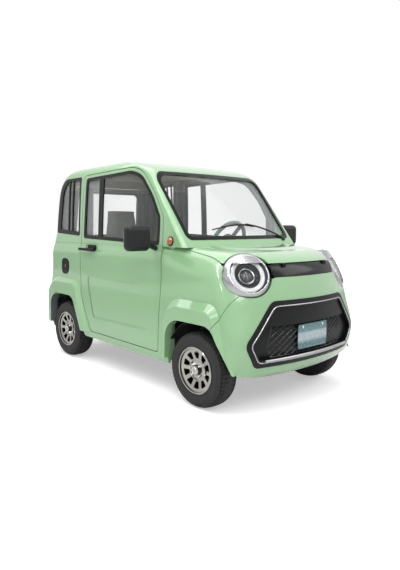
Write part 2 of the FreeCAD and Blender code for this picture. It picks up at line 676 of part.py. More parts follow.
door_ring = frame_ring(side_wire(DOOR_WINDOW_LINE), side_wire(DOOR_GLASS_LINE), side_wire)
sash_bar = box(-800, -330, FRONT_AXLE + SASH_BAR, FRONT_AXLE + SASH_BAR + 58, 990, 1475).common(
    slab_x(inset(side_wire(DOOR_WINDOW_LINE), 4), -800, -330))
parts["door_sash_right"] = largest(frame_shell.common(door_ring.fuse(sash_bar)))
parts["door_sash_left"] = mirror(parts["door_sash_right"])
quarter_ring = frame_ring(side_wire(QUARTER_LINE), side_wire(QUARTER_GLASS_LINE), side_wire)
for y in (1545, 1606):
    slat = box(-800, -330, FRONT_AXLE + y, FRONT_AXLE + y + 15, 1020, 1475)
    quarter_ring = quarter_ring.fuse(slat.common(slab_x(inset(side_wire(QUARTER_LINE), 4), -800, -330)))
quarter_frame = largest(frame_shell.common(quarter_ring))
screen_frame = frame_shell.common(frame_ring(front_wire(SCREEN_LINE), front_wire(SCREEN_GLASS_LINE), front_wire))
parts["window_frames"] = group([quarter_frame, mirror(quarter_frame), largest(screen_frame)])

# chassis: rails, cross members and sills, and the front suspension on them
RAIL_X = 265.0
RAIL_W = 50.0
RAIL_BOTTOM = 222.0
RAIL_TOP = FLOOR_TOP - FLOOR_SHEET
REAR_RISER = REAR_AXLE - 300
REAR_FLOOR = 430.0

members = []
links = []
for x in (-RAIL_X, RAIL_X):
    x0, x1 = x - RAIL_W / 2, x + RAIL_W / 2
    members.append(box(x0, x1, NOSE + 130, REAR_RISER + 50, RAIL_BOTTOM, RAIL_TOP))
    members.append(box(x0, x1, REAR_RISER, REAR_RISER + 50, RAIL_BOTTOM, REAR_FLOOR))
    members.append(box(x0, x1, REAR_RISER, TAIL - 95, REAR_FLOOR - 60, REAR_FLOOR))
for y in (FRONT_AXLE - 250, FRONT_AXLE - 60, FRONT_AXLE + 10):
    members.append(box(-RAIL_X, RAIL_X, y, y + 50, RAIL_BOTTOM + 4, RAIL_TOP - 6))
for y in (REAR_RISER, REAR_AXLE + 240):
    members.append(box(-RAIL_X, RAIL_X, y, y + 50, REAR_FLOOR - 56, REAR_FLOOR))
for y in (FRONT_AXLE + 362, REAR_RISER - 50):
    members.append(box(-510, 510, y, y + 46, RAIL_BOTTOM + 14, RAIL_TOP))
sill_line = low_solid(CABIN_WALL + 0.3)
for sign in (-1, 1):
    x0, x1 = sorted((sign * 482, sign * 524))
    members.append(box(x0, x1, FRONT_AXLE + 362, REAR_RISER - 4, RAIL_BOTTOM + 14, RAIL_TOP))
    x0, x1 = sorted((sign * 500, sign * 570))
    sill = box(x0, x1, FRONT_AXLE + 362, REAR_RISER - 4, RAIL_BOTTOM + 14, 263)
    members.append(sill.common(sill_line))
    for dy in (-110, 110):
        links.append(rod((sign * 270, FRONT_AXLE + dy, 240), (sign * KINGPIN_X, FRONT_AXLE, 148), 10))
    links.append(Part.makeCylinder(18, 32, V(sign * KINGPIN_X, FRONT_AXLE, 136)))
    links.append(rod((sign * (KINGPIN_X - 20), FRONT_AXLE, 306), (sign * 384, FRONT_AXLE, 640), 17))
    links.append(rod((sign * 384, FRONT_AXLE, 640), (sign * 270, FRONT_AXLE, 600), 20))
    links.append(box(sign * 270 - 18, sign * 270 + 18, FRONT_AXLE - 40, FRONT_AXLE + 40, 250, 625))
parts["chassis_frame"] = fuse(members)
left_links = fuse(links[len(links) // 2:]).cut(parts["chassis_frame"])
left_links = largest(left_links, 2)
parts["front_suspension"] = group(left_links.Solids + mirror(left_links).Solids)
parts["battery_box"] = box(-240, 240, FRONT_AXLE + 410, REAR_RISER - 55, 196, 286)

# floor, bulkhead and wheelhouses in one sheet
floor = [
    box(-519, 519, FRONT_AXLE + 300, REAR_RISER, FLOOR_TOP - FLOOR_SHEET, FLOOR_TOP),
    box(-519, 519, REAR_RISER - 12, REAR_RISER, FLOOR_TOP - FLOOR_SHEET, REAR_FLOOR + 12),
    box(-519, 519, REAR_RISER - 12, TAIL - 60, REAR_FLOOR, REAR_FLOOR + 12),
    box(-502, 502, FRONT_AXLE + 300, FRONT_AXLE + 312, FLOOR_TOP - FLOOR_SHEET, 900),
]
liners = []
holes = []
for y, x_in in ((FRONT_AXLE, 330), (REAR_AXLE, 436)):
    for sign in (-1, 1):
        x0, x1 = sorted((sign * x_in, sign * 519))
        w0, w1 = sorted((sign * x_in, sign * (x_in + 6)))
        shell = disc_x(WHEELHOUSE_RADIUS + 8, x0, x1, y, TYRE_RADIUS)
        liners.append(shell)
        h0, h1 = sorted((sign * (x_in + 6), sign * 600))
        holes.append(disc_x(WHEELHOUSE_RADIUS + 2, h0, h1, y, TYRE_RADIUS))
pan = fuse(floor + liners).cut(group(holes))
pan = pan.cut(box(-600, 600, -1500, FRONT_AXLE + 299, 0, 235)).cut(box(-600, 600, REAR_AXLE - 299, 1500, 0, 235))
pan = pan.cut(box(-600, 600, REAR_AXLE - 45, REAR_AXLE + 45, 0, 275))
parts["floor_pan"] = largest(pan.common(low_solid(CABIN_WALL + 0.5, FRONT_AXLE + 150)))


def tyre(x, y):
    profile = [(-62, 128.6), (-64, 142), (-72.5, 170), (-69, 198), (-59, 216), (-42, 226), (0, 228.5),
               (42, 226), (59, 216), (69, 198), (72.5, 170), (64, 142), (62, 128.6), (50, 128.6), (54, 145),
               (62, 175), (52, 208), (0, 214), (-52, 208), (-62, 175), (-54, 145), (-50, 128.6)]
    pts = [V(x + p[0], y, TYRE_RADIUS + p[1]) for p in profile]
    wire = Part.makePolygon(pts + [pts[0]])
    return Part.Face(wire).revolve(V(x, y, TYRE_RADIUS), V(1, 0, 0), 360)


def rim(x, y, out):
    """Cast wheel with ten windows; out is the side its face looks to."""
    def ring(profile):
        pts = [V(x + out * p[0], y, TYRE_RADIUS + p[1]) for p in profile]
        wire = Part.makePolygon(pts + [pts[0]])
        return Part.Face(wire).revolve(V(x, y, TYRE_RADIUS), V(1, 0, 0), 360)
    barrel = ring([(-70, 118), (-70, 141), (-66, 141), (-65.5, 128), (65.5, 128), (66, 141), (70, 142), (73, 138),
                   (71, 132), (60, 128), (56, 120), (-60, 118)])
    face = ring([(36, 0.01), (72, 0.01), (73, 22), (68, 30), (50, 32), (49, 52), (44, 64), (57, 122), (42, 122),
                 (29, 64), (33, 40)])
    windows = []
    for i in range(10):
        slot = rounded_wire([
            (V(0, -11, 70), 6), (V(0, 11, 70), 6), (V(0, 24, 112), 8), (V(0, -24, 112), 8)])
        tool = Part.Face(slot).extrude(V(120, 0, 0))
        tool.rotate(V(0, 0, 0), V(1, 0, 0), 36 * i)
        tool.translate(V(x if out > 0 else x - 120, y, TYRE_RADIUS))
        windows.append(tool)
    return barrel.fuse(face).cut(group(windows)).removeSplitter()


def knuckle(sign):
    x = sign * KINGPIN_X
    w = sign * TRACK / 2
    post = Part.makeCylinder(15, 132, V(x, FRONT_AXLE, 168.3))
    hub = disc_x(22, min(x, w + sign * 34.2), max(x, w + sign * 34.2), FRONT_AXLE, TYRE_RADIUS)
    a, b = sorted((w - sign * 40, w + sign * 8))
    drum = disc_x(86, a, b, FRONT_AXLE, TYRE_RADIUS)
    return fuse([post, hub, drum])


for side_name, sign in (("right", -1), ("left", 1)):
    for end, y in (("front", FRONT_AXLE), ("rear", REAR_AXLE)):
        parts["tyre_" + end + "_" + side_name] = tyre(sign * TRACK / 2, y)
        parts["rim_" + end + "_" + side_name] = rim(sign * TRACK / 2, y, sign)
    parts["knuckle_" + side_name] = knuckle(sign)

# rear axle with drums and trailing arms, and the motor on it
axle = [disc_x(30, -440, 440, REAR_AXLE, TYRE_RADIUS), disc_x(20, -564, 564, REAR_AXLE, TYRE_RADIUS)]
for sign in (-1, 1):
    a, b = sorted((sign * 490, sign * 538))
    axle.append(disc_x(86, a, b, REAR_AXLE, TYRE_RADIUS))
    axle.append(rod((sign * 340, REAR_AXLE, 222), (sign * 340, REAR_AXLE - 300, 232), 20))
    axle.append(rod((sign * 355, REAR_AXLE - 280, 242), (sign * 290, REAR_AXLE - 280, 242), 12))
for x in (-158, 110):
    axle.append(box(x, x + 8, REAR_AXLE - 24, REAR_AXLE + 150, 205, 360))
parts["rear_axle"] = fuse(axle)
parts["drive_motor"] = disc_x(88, -150, 110, REAR_AXLE + 125, 300)

# seats
def seat(x):
    cushion = side_wire([(720, 380, 30), (710, 500, 60), (1200, 470, 60), (1240, 380, 30)])
    back = side_wire([(1110, 400, 30), (1120, 520, 60), (1215, 1120, 60), (1235, 1250, 40), (1330, 1240, 50),
                      (1330, 1120, 80), (1260, 420, 50)])
    base = box(x - 170, x + 170, FRONT_AXLE + 780, FRONT_AXLE + 1180, FLOOR_TOP, 390)
    trim = front_wire([(x - 215, 380, 30), (x - 215, 1020, 120), (x - 120, 1255, 60), (x + 120, 1255, 60),
                       (x + 215, 1020, 120), (x + 215, 380, 30)])
    body = slab_x(cushion, x - 212, x + 212).fuse(slab_x(back, x - 215, x + 215))
    body = body.common(slab_y(trim, FRONT_AXLE + 600, FRONT_AXLE + 1400))
    return fuse([body, base])


parts["front_seats"] = group([seat(-250), seat(250)])
bench = [
    box(-420, 420, REAR_AXLE - 180, REAR_AXLE + 150, 442, 580),
    slab_x(side_wire([(1680, 450, 20), (1660, 560, 20), (1700, 950, 30), (1790, 940, 30), (1780, 450, 20)]), -420, 420)]
parts["rear_seat"] = fuse(bench)

# dashboard and steering wheel
dash = side_wire([(330, 925, 20), (420, 940, 60), (480, 880, 50), (455, 760, 60), (380, 690, 30), (312, 690, 0),
                  (312, 920, 0)])
hump = side_wire([(360, 920, 10), (390, 985, 30), (455, 985, 30), (478, 890, 10), (430, 860, 10)])
dashboard = slab_x(dash, -490, 490).fuse(slab_x(hump, 140, 360))
WHEEL_C = V(250, FRONT_AXLE + 545, 962)
WHEEL_TILT = 24.0
wheel_axis = V(0, math.cos(math.radians(WHEEL_TILT)), math.sin(math.radians(WHEEL_TILT)))
column = Part.makeCylinder(22, 205.6, WHEEL_C - wheel_axis * 230, wheel_axis)
parts["dashboard"] = fuse([dashboard, column])
wheel = Part.makeTorus(168, 14, WHEEL_C, wheel_axis)
hub = Part.makeCylinder(48, 40, WHEEL_C - wheel_axis * 24, wheel_axis)
spokes = []
for angle in (90, 210, 330):
    arm = box(-14, 14, 20, 165, -8, 8)
    arm.rotate(V(0, 0, 0), V(0, 0, 1), angle)
    arm.rotate(V(0, 0, 0), V(1, 0, 0), -(90 - WHEEL_TILT))
    arm.translate(WHEEL_C)
    spokes.append(arm)
parts["steering_wheel"] = fuse([wheel, hub] + spokes)

# mirrors, handles, marker lamps and tail lamps
head = box(-838, -662, FRONT_AXLE + 330, FRONT_AXLE + 415, 932, 1095)
head = head.makeFillet(34, head.Edges)
arm = rod((-545, FRONT_AXLE + 430, 940), (-690, FRONT_AXLE + 385, 985), 17)
arm = arm.cut(low_outer).cut(green_outer)
mirror_one = fuse([head, largest(arm)])
parts["mirror_right"] = mirror_one
parts["mirror_left"] = mirror(mirror_one)
lever = box(-604, -588, FRONT_AXLE + 1142, FRONT_AXLE + 1368, 896, 918)
lever = lever.makeFillet(6, lever.Edges)
plate = slab_x(side_wire([(1156, 892, 25), (1156, 944, 25), (1284, 944, 25), (1284, 892, 25)]), -578, -540)
neck = rod((-592, FRONT_AXLE + 1176, 907), (-560, FRONT_AXLE + 1176, 907), 9)
handle = largest(fuse([lever, plate, neck]).cut(low_outer))
parts["handle_right"] = handle
parts["handle_left"] = mirror(handle)
flap_line = side_wire([(1583, 684, 46), (1583, 818, 46), (1712, 818, 46), (1712, 684, 46)])
flap_hole = slab_x(flap_line, -800, -400)
flap = low_outer.common(slab_x(inset(flap_line, 2.5), -800, -400)).cut(low_solid(8))
parts["charge_flap"] = largest(flap)
tail_line = front_wire([(-527, 640, 34), (-527, 900, 34), (-446, 900, 34), (-446, 640, 34)])
tail_tool = slab_y(tail_line, REAR_AXLE + 160, TAIL + 60)
tail_hole = slab_y(inset(tail_line, -SKIN_GAP), REAR_AXLE + 160, TAIL + 60)
tail_lamp = largest(low_solid(-4).common(tail_tool).cut(low_solid(30)))
parts["tail_lamps"] = group([tail_lamp, mirror(tail_lamp)])
cup = slab_x(inset(flap_line, -8), -600, -470).cut(slab_x(inset(flap_line, 4), -600, -500))
cup = cup.common(low_solid(8.3))
side = parts["side_panel_right"].cut(tail_hole).cut(flap_hole).fuse(cup)
striker = box(-556, -532, FRONT_AXLE + 1394.4, FRONT_AXLE + 1406, 880, 920)
side = side.fuse(striker)
inlet = disc_x(24, -600, -400, FRONT_AXLE + 1649, 751)
side = largest(side.cut(inlet))
parts["side_panel_right"] = side
left = mirror(parts["side_panel_left"]).cut(tail_hole).fuse(striker)
parts["side_panel_left"] = mirror(largest(left))

os.makedirs("parts", exist_ok=True)
for name, shape in parts.items():
    shape.exportStep("parts/" + name + ".step")
    print(name, len(shape.Solids), shape.isValid(), round(shape.Volume / 1e6, 3))
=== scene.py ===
import bpy
import bmesh
import math
from mathutils import Matrix, Vector


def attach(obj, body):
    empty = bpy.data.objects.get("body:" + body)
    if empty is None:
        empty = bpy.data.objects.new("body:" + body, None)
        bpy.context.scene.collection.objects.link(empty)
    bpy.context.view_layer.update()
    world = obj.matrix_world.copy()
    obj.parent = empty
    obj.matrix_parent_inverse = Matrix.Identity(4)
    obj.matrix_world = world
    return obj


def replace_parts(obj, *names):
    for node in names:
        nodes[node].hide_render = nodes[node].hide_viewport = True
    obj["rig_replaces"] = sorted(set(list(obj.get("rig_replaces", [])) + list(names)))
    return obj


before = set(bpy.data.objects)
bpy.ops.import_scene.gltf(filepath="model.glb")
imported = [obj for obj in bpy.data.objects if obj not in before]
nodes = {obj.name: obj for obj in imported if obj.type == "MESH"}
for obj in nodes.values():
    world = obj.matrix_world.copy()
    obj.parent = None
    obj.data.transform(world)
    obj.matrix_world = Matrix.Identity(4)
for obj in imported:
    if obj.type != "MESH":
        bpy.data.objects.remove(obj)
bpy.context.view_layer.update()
print("frame loaded,", len(nodes), "nodes")

frontAxle = -0.772  # y of the axles, metres
rearAxle = 0.803
wheelZ = 0.2285
halfTrack = 0.530
wheels = {"front_left": (halfTrack, frontAxle), "front_right": (-halfTrack, frontAxle),
          "rear_left": (halfTrack, rearAxle), "rear_right": (-halfTrack, rearAxle)}
sides = (("right", -1), ("left", 1))


class Flow:  # a shader socket that takes part in sums
    def __init__(self, finish, socket):
        self.finish = finish
        self.socket = socket

    def maths(self, kind, other, turned=False):
        pair = (other, self) if turned else (self, other)
        return self.finish.node("Math", {"operation": kind}, pair)

    def __add__(self, other):
        return self.maths("ADD", other)

    def __sub__(self, other):
        return self.maths("SUBTRACT", other)

    def __rsub__(self, other):
        return self.maths("SUBTRACT", other, True)

    def __mul__(self, other):
        return self.maths("MULTIPLY", other)

    def __gt__(self, other):
        return self.maths("GREATER_THAN", other)

    def __lt__(self, other):
        return self.maths("LESS_THAN", other)


class Finish:  # one material and its nodes
    def __init__(self, name, color, roughness, metallic=0.0, coat=0.0):
        self.material = bpy.data.materials.new(name)
        self.material.use_nodes = True
        self.tree = self.material.node_tree
        self.shader = self.tree.nodes["Principled BSDF"]
        self.put("Base Color", (*color, 1))
        self.put("Roughness", roughness)
        self.put("Metallic", metallic)
        self.put("Coat Weight", coat)

    def node(self, kind, settings=None, inputs=(), out=0):
        made = self.tree.nodes.new("ShaderNode" + kind)
        for key, value in (settings or {}).items():
            if key == "stops":
                ramp = made.color_ramp.elements
                while len(ramp) < len(value):
                    ramp.new(0.5)
                for stop, (place, shade) in zip(ramp, value):
                    stop.position = place
                    stop.color = (*shade, 1)
            else:
                setattr(made, key, value)
        pairs = inputs.items() if isinstance(inputs, dict) else enumerate(inputs)
        for key, value in pairs:
            self.plug(made.inputs[key], value)
        return Flow(self, made.outputs[out])

    def plug(self, socket, value):
        if isinstance(value, Flow):
            self.tree.links.new(value.socket, socket)
        else:
            socket.default_value = value

    def put(self, name, value):
        self.plug(self.shader.inputs[name], value)

    def place(self):
        return self.node("TexCoord", None, (), "Object")

    def along(self, axis):  # one coordinate of the place
        return self.node("SeparateXYZ", None, (self.place(),), axis)

    def noise(self, scale, detail=3.0):
        return self.node("TexNoise", None, {"Vector": self.place(), "Scale": scale, "Detail": detail}, "Fac")

    def cells(self, scale):
        return self.node("TexVoronoi", None, {"Vector": self.place(), "Scale": scale}, "Distance")

    def waves(self, scale, direction):
        inputs = {"Vector": self.place(), "Scale": scale}
        return self.node("TexWave", {"bands_direction": direction}, inputs, 1)

    def texture(self, kind, *values):  # noise, cells or waves, by its name
        return {"noise": self.noise, "cells": self.cells, "waves": self.waves}[kind](*values)

    def blend(self, factor, first, second):
        mix = self.node("Mix", {"data_type": "RGBA"}, {"Factor": factor}, 2)
        for index, shade in ((6, first), (7, second)):
            self.plug(mix.socket.node.inputs[index], shade if isinstance(shade, Flow) else (*shade, 1))
        return mix

    def band(self, value, stops):  # a ramp from a value to colours
        return self.node("ValToRGB", {"stops": stops}, (value,))

    def bump(self, height, strength, distance):
        values = {"Height": height, "Strength": strength, "Distance": distance}
        self.put("Normal", self.node("Bump", None, values))

    def facing(self):  # the face's normal in the piece's own space, so that it turns with a door
        spaces = {"vector_type": "NORMAL", "convert_from": "WORLD", "convert_to": "OBJECT"}
        return self.node("VectorTransform", spaces, (self.node("NewGeometry", None, (), "True Normal"),))

    def inward(self):  # 1 where a face looks into the cabin
        centre = (0, 0.15, 0.95)
        out = self.node("VectorMath", {"operation": "SUBTRACT"}, (self.place(), centre))
        away = self.node("VectorMath", {"operation": "DOT_PRODUCT"}, (out, self.facing()), "Value")
        return (away < -0.16) * (self.along("Y") > -0.47)

    def edgeOn(self):  # 1 where the surface is seen at a flat angle
        return self.node("LayerWeight", None, {"Blend": 0.15}, "Fresnel")


def linear(red, green, blue):  # screen values 0-255 to scene colour
    return tuple((v / 12.92 if v <= 0.04045 else ((v + 0.055) / 1.055) ** 2.4)
                 for v in (red / 255, green / 255, blue / 255))


def surface(name, shade, roughness, metallic=0.0, coat=0.0, **look):
    # a finish whose tone, roughness and relief vary with the textures named in look
    made = Finish(name, linear(*shade), roughness, metallic, coat)
    if "shine" in look:
        made.put("Specular IOR Level", look["shine"])
    if "tones" in look:
        texture, first, second = look["tones"]
        made.put("Base Color", made.blend(made.texture(*texture), linear(*first), linear(*second)))
    if "rough" in look:
        scale, spread, low = look["rough"]
        made.put("Roughness", made.noise(scale) * spread + low)
    if "relief" in look:
        texture, strength, distance = look["relief"]
        made.bump(made.texture(*texture), strength, distance)
    return made


# finishes
paintLook = {"shade": linear(138, 179, 134), "deep": linear(132, 173, 128), "gloss": 0.24, "orangePeel": 0.02,
             "trim": linear(92, 96, 100), "trimDark": linear(78, 82, 86), "lining": linear(150, 140, 124),
             "liningFrom": 1.40}
paint = Finish("mint paint", paintLook["shade"], paintLook["gloss"], 0.0, 1.0)
paint.put("Coat Roughness", 0.04)
body = paint.blend(paint.noise(3.0), paintLook["shade"], paintLook["deep"])
trim = paint.blend(paint.noise(60.0), paintLook["trim"], paintLook["trimDark"])
lining = paint.blend(paint.along("Z") > paintLook["liningFrom"], trim, paintLook["lining"])
inside = paint.inward()
paint.put("Base Color", paint.blend(inside, body, lining))
paint.put("Roughness", inside * 0.5 + paintLook["gloss"])
paint.put("Coat Weight", 1 - inside)
paint.bump(paint.noise(260.0, 1.0) + inside * paint.noise(900.0, 2.0) * 4.0, paintLook["orangePeel"], 0.001)

gloss = surface("gloss black trim", (12, 13, 14), 0.14, shine=0.25, rough=(40.0, 0.08, 0.13),
                relief=(("noise", 90.0, 1.0), 0.03, 0.001))
satin = surface("satin black plastic", (24, 25, 27), 0.40, shine=0.28,
                tones=(("noise", 30.0), (21, 22, 24), (28, 29, 31)),
                rough=(120.0, 0.15, 0.36), relief=(("noise", 900.0, 2.0), 0.12, 0.0006))
# grille panel behind the lattice: its black is darkened past the plastic's own tone, painted shade in the
# holes between the bars
grilleShadedBlack = surface("grille black with painted shade", (15, 16, 17), 0.4, shine=0.22,
                    tones=(("noise", 20.0), (13, 14, 15), (20, 21, 22)),
                    rough=(80.0, 0.12, 0.34), relief=(("cells", 1400.0), 0.10, 0.0004))
rubber = surface("seal rubber", (17, 17, 18), 0.6, rough=(60.0, 0.2, 0.5),
                 relief=(("noise", 700.0), 0.1, 0.0004))
steel = surface("black chassis paint", (30, 31, 33), 0.4, tones=(("noise", 8.0), (27, 28, 30), (40, 40, 41)),
                relief=(("noise", 200.0), 0.1, 0.001))
castGrey = surface("cast grey metal", (118, 120, 122), 0.45, 0.7, rough=(70.0, 0.2, 0.36),
                   relief=(("noise", 480.0, 2.0), 0.2, 0.0006))

# the rim's faces that look out keep the alloy tone; the sides of spokes and pockets take a dark tone, painted
# shade in the recesses
alloyLook = {"face": linear(168, 165, 158), "paintedRecessShade": linear(58, 57, 54)}
alloy = Finish("polished wheel alloy", linear(206, 208, 208), 0.16, 1.0)
across = alloy.node("SeparateXYZ", None, (alloy.facing(),), "X")
faceOut = (across > 0.45) + (across < -0.45)
# painted shade: darker wherever the face does not look out
alloy.put("Base Color", alloy.blend(faceOut, alloyLook["paintedRecessShade"], alloyLook["face"]))
alloy.put("Roughness", alloy.noise(30.0) * 0.12 + 0.10 + (1 - faceOut) * 0.25)
alloy.bump(alloy.noise(380.0, 1.0), 0.03, 0.0004)

silver = surface("satin silver", (168, 168, 170), 0.22, 0.9, rough=(50.0, 0.08, 0.18),
                 tones=(("noise", 12.0), (160, 160, 163), (182, 182, 184)))
chrome = surface("bright chrome", (214, 216, 218), 0.06, 1.0, rough=(40.0, 0.05, 0.04))
tyreRubber = surface("tyre rubber", (24, 24, 25), 0.72, tones=(("noise", 14.0), (20, 20, 21), (29, 29, 29)),
                     rough=(50.0, 0.2, 0.58), relief=(("noise", 500.0), 0.15, 0.0006))

glass = surface("window glass", (196, 202, 200), 0.02, rough=(6.0, 0.02, 0.01))
glass.put("Alpha", glass.edgeOn() * 0.35 + 0.035 + glass.noise(3.0) * 0.015)
clear = surface("clear lamp cover", (214, 216, 218), 0.02, relief=(("noise", 30.0, 1.0), 0.02, 0.001))
clear.put("Alpha", clear.edgeOn() * 0.35 + 0.025)

clothLook = {"light": linear(112, 111, 104), "dark": linear(92, 91, 86), "thread": 620.0}
cloth = Finish("grey seat cloth", clothLook["light"], 0.86)
threads = [cloth.waves(clothLook["thread"], axis) for axis in "XZY"]
weave = threads[0] * threads[1] + threads[2] * 0.5
mottle = weave * 0.6 + cloth.noise(18.0) * 0.4
cloth.put("Base Color", cloth.blend(mottle, clothLook["dark"], clothLook["light"]))
cloth.put("Roughness", cloth.noise(90.0) * 0.15 + 0.78)
cloth.bump(weave + cloth.noise(60.0) * 0.6, 0.35, 0.0010)

felt = surface("tan roof lining", (168, 157, 140), 0.9, relief=(("noise", 1100.0, 3.0), 0.3, 0.0008),
               tones=(("noise", 700.0, 2.0), (154, 143, 127), (176, 166, 149)))
carpet = surface("dark carpet", (44, 45, 47), 0.95, relief=(("noise", 900.0, 4.0), 0.6, 0.002),
                 tones=(("noise", 500.0, 4.0), (32, 33, 35), (58, 59, 61)))
moulded = surface("grey green dash plastic", (84, 98, 100), 0.5,
                  tones=(("noise", 40.0), (84, 98, 100), (66, 78, 80)),
                  rough=(90.0, 0.16, 0.42), relief=(("cells", 900.0), 0.18, 0.0005))
redLens = surface("red lens", (150, 14, 18), 0.08, 0.0, 1.0, relief=(("waves", 60.0, "Z"), 0.3, 0.001),
                  tones=(("waves", 60.0, "Z"), (120, 8, 12), (178, 22, 26)))
amberLens = surface("amber lens", (176, 84, 30), 0.10, 0.0, 1.0, relief=(("waves", 120.0, "Y"), 0.4, 0.0008),
                    tones=(("cells", 120.0), (198, 104, 44), (132, 58, 20)))
whiteGuide = surface("white light guide", (212, 214, 214), 0.16, 0.0, 0.8,
                     tones=(("noise", 50.0), (196, 198, 199), (226, 227, 227)),
                     relief=(("cells", 260.0), 0.25, 0.0006))
darkLens = surface("dark projector glass", (20, 24, 30), 0.03, 0.0, 1.0, rough=(30.0, 0.04, 0.02))
# lattice bars: lighter grey than the black plastic they are, a painted highlight on the bars
latticeHighlighted = surface("grille bars with painted highlight", (46, 47, 48), 0.28, rough=(60.0, 0.12, 0.24),
                       relief=(("noise", 500.0, 2.0), 0.08, 0.0005))
wheelGrey = surface("teal grey wheel skin", (116, 135, 132), 0.5, relief=(("cells", 700.0), 0.25, 0.0006),
                    tones=(("noise", 30.0), (108, 127, 124), (124, 142, 139)))
screenGlass = surface("display glass", (10, 13, 17), 0.08, 0.0, 1.0,
                      tones=(("noise", 9.0), (9, 12, 16), (22, 28, 34)))
brass = surface("brown lock face", (128, 92, 52), 0.35, 0.6, rough=(160.0, 0.2, 0.28))

plateLook = {"teal": linear(62, 103, 107), "tealLight": linear(84, 122, 124), "silver": linear(156, 172, 178),
             "middle": 0.437, "height": 0.145}
enamel = Finish("teal plate enamel", plateLook["teal"], 0.26, 0.0, 0.5)
level = enamel.along("Z") - (plateLook["middle"] - plateLook["height"] / 2)
stops = [(place, plateLook[key]) for place, key in (
    (0.0, "teal"), (0.2, "teal"), (0.38, "silver"), (0.62, "silver"), (0.7, "tealLight"), (1.0, "teal"))]
enamel.put("Base Color", enamel.band(level * (1 / plateLook["height"]), stops))
enamel.put("Roughness", enamel.noise(60.0) * 0.1 + 0.22)
enamel.bump(enamel.noise(200.0, 1.0), 0.04, 0.0005)

whitePlate = surface("blank pale plate", (206, 208, 206), 0.32, 0.0, 0.3,
                     tones=(("noise", 25.0), (198, 200, 198), (214, 215, 213)),
                     relief=(("cells", 900.0), 0.05, 0.0003))
mirrorGlass = surface("mirror glass", (196, 202, 206), 0.02, 1.0, rough=(8.0, 0.02, 0.01))
print("finishes made")

dress = (
    (paint, ["hood", "front_bumper", "front_fenders", "roof_panel", "side_panel_right", "side_panel_left",
             "rear_panel", "door_right", "door_left", "tailgate", "cowl"]),
    (gloss, ["nose_strip", "charge_flap", "door_sash_right", "door_sash_left", "window_frames",
             "handle_right", "handle_left", "lamp_cores"]),
    (satin, ["mirror_right", "mirror_left"]),
    (grilleShadedBlack, ["grille"]),
    (steel, ["chassis_frame", "battery_box", "floor_pan", "rear_axle", "front_suspension", "knuckle_left",
             "knuckle_right"]),
    (castGrey, ["drive_motor"]),
    (alloy, ["rim_" + name for name in wheels]),
    (tyreRubber, ["tyre_" + name for name in wheels]),
    (silver, ["headlamps"]),
    (glass, ["windshield", "tailgate_glass", "door_glass_right", "door_glass_left", "quarter_windows"]),
    (cloth, ["front_seats", "rear_seat"]),
    (moulded, ["dashboard"]),
    (wheelGrey, ["steering_wheel"]),
    (redLens, ["tail_lamps"]),
)
for finish, names in dress:
    for name in names:
        for slot in nodes[name].material_slots:
            slot.material = finish.material
print("finishes on the nodes")


def alone(piece):
    bpy.ops.object.select_all(action="DESELECT")
    piece.select_set(True)
    bpy.context.view_layer.objects.active = piece


def begin(kind, name, **sizes):  # a new primitive, with nothing else selected
    bpy.ops.object.select_all(action="DESELECT")
    getattr(bpy.ops.mesh, "primitive_%s_add" % kind)(**sizes)
    piece = bpy.context.object
    piece.name = name
    piece.data.name = name
    return piece


def pick(piece, test=None, kind="FACE"):  # edit mode, with what the test finds selected
    if bpy.context.mode != "OBJECT":
        bpy.ops.object.mode_set(mode="OBJECT")
    alone(piece)
    bpy.ops.object.mode_set(mode="EDIT")
    bpy.ops.mesh.select_mode(type=kind)
    bpy.ops.mesh.select_all(action="DESELECT")
    if test is None:
        bpy.ops.mesh.select_all(action="SELECT")
        return
    mesh = bmesh.from_edit_mesh(piece.data)
    for part in {"FACE": mesh.faces, "EDGE": mesh.edges, "VERT": mesh.verts}[kind]:
        if test(part):
            part.select_set(True)
    mesh.select_flush_mode()
    bmesh.update_edit_mesh(piece.data)


def leave():
    bpy.ops.object.mode_set(mode="OBJECT")


def mid(part):
    return part.calc_center_median()


def toward(axis, sign=1):  # a test for faces that look along an axis
    return lambda face: face.normal["xyz".index(axis)] * sign > 0.9


def inset(piece, test, *steps, each=False):  # the found faces drawn in and raised, step by step
    pick(piece, test)
    for thickness, depth in steps:
        bpy.ops.mesh.inset(thickness=thickness, depth=depth, use_individual=each)
    leave()


def nudge(piece, test, move):  # the found corners moved
    pick(piece, test, "VERT")
    bpy.ops.transform.translate(value=move)
    leave()


def cut(piece, planes, fill=False):  # what lies on each plane's side is kept
    for where, normal in planes:
        pick(piece)
        bpy.ops.mesh.bisect(plane_co=where, plane_no=normal, use_fill=fill, clear_inner=True)
        leave()


def sized(piece, size, move, cuts=0):  # the whole piece scaled, moved and divided
    pick(piece)
    bpy.ops.transform.resize(value=size)
    bpy.ops.transform.translate(value=move)
    if cuts:
        bpy.ops.mesh.subdivide(number_cuts=cuts)
    leave()


def change(piece, kind, **settings):  # a modifier, applied
    alone(piece)
    step = piece.modifiers.new(kind.lower(), kind)
    for key, value in settings.items():
        setattr(step, key, value)
    bpy.ops.object.modifier_apply(modifier=step.name)


def deliver(piece, finish, rider, sharp=35):  # placed, smoothed, dressed and riding
    alone(piece)
    bpy.ops.object.transform_apply(location=True, rotation=True, scale=True)
    bpy.ops.object.shade_smooth_by_angle(angle=math.radians(sharp))
    piece.data.materials.clear()
    piece.data.materials.append(finish.material)
    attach(piece, rider)
    return piece


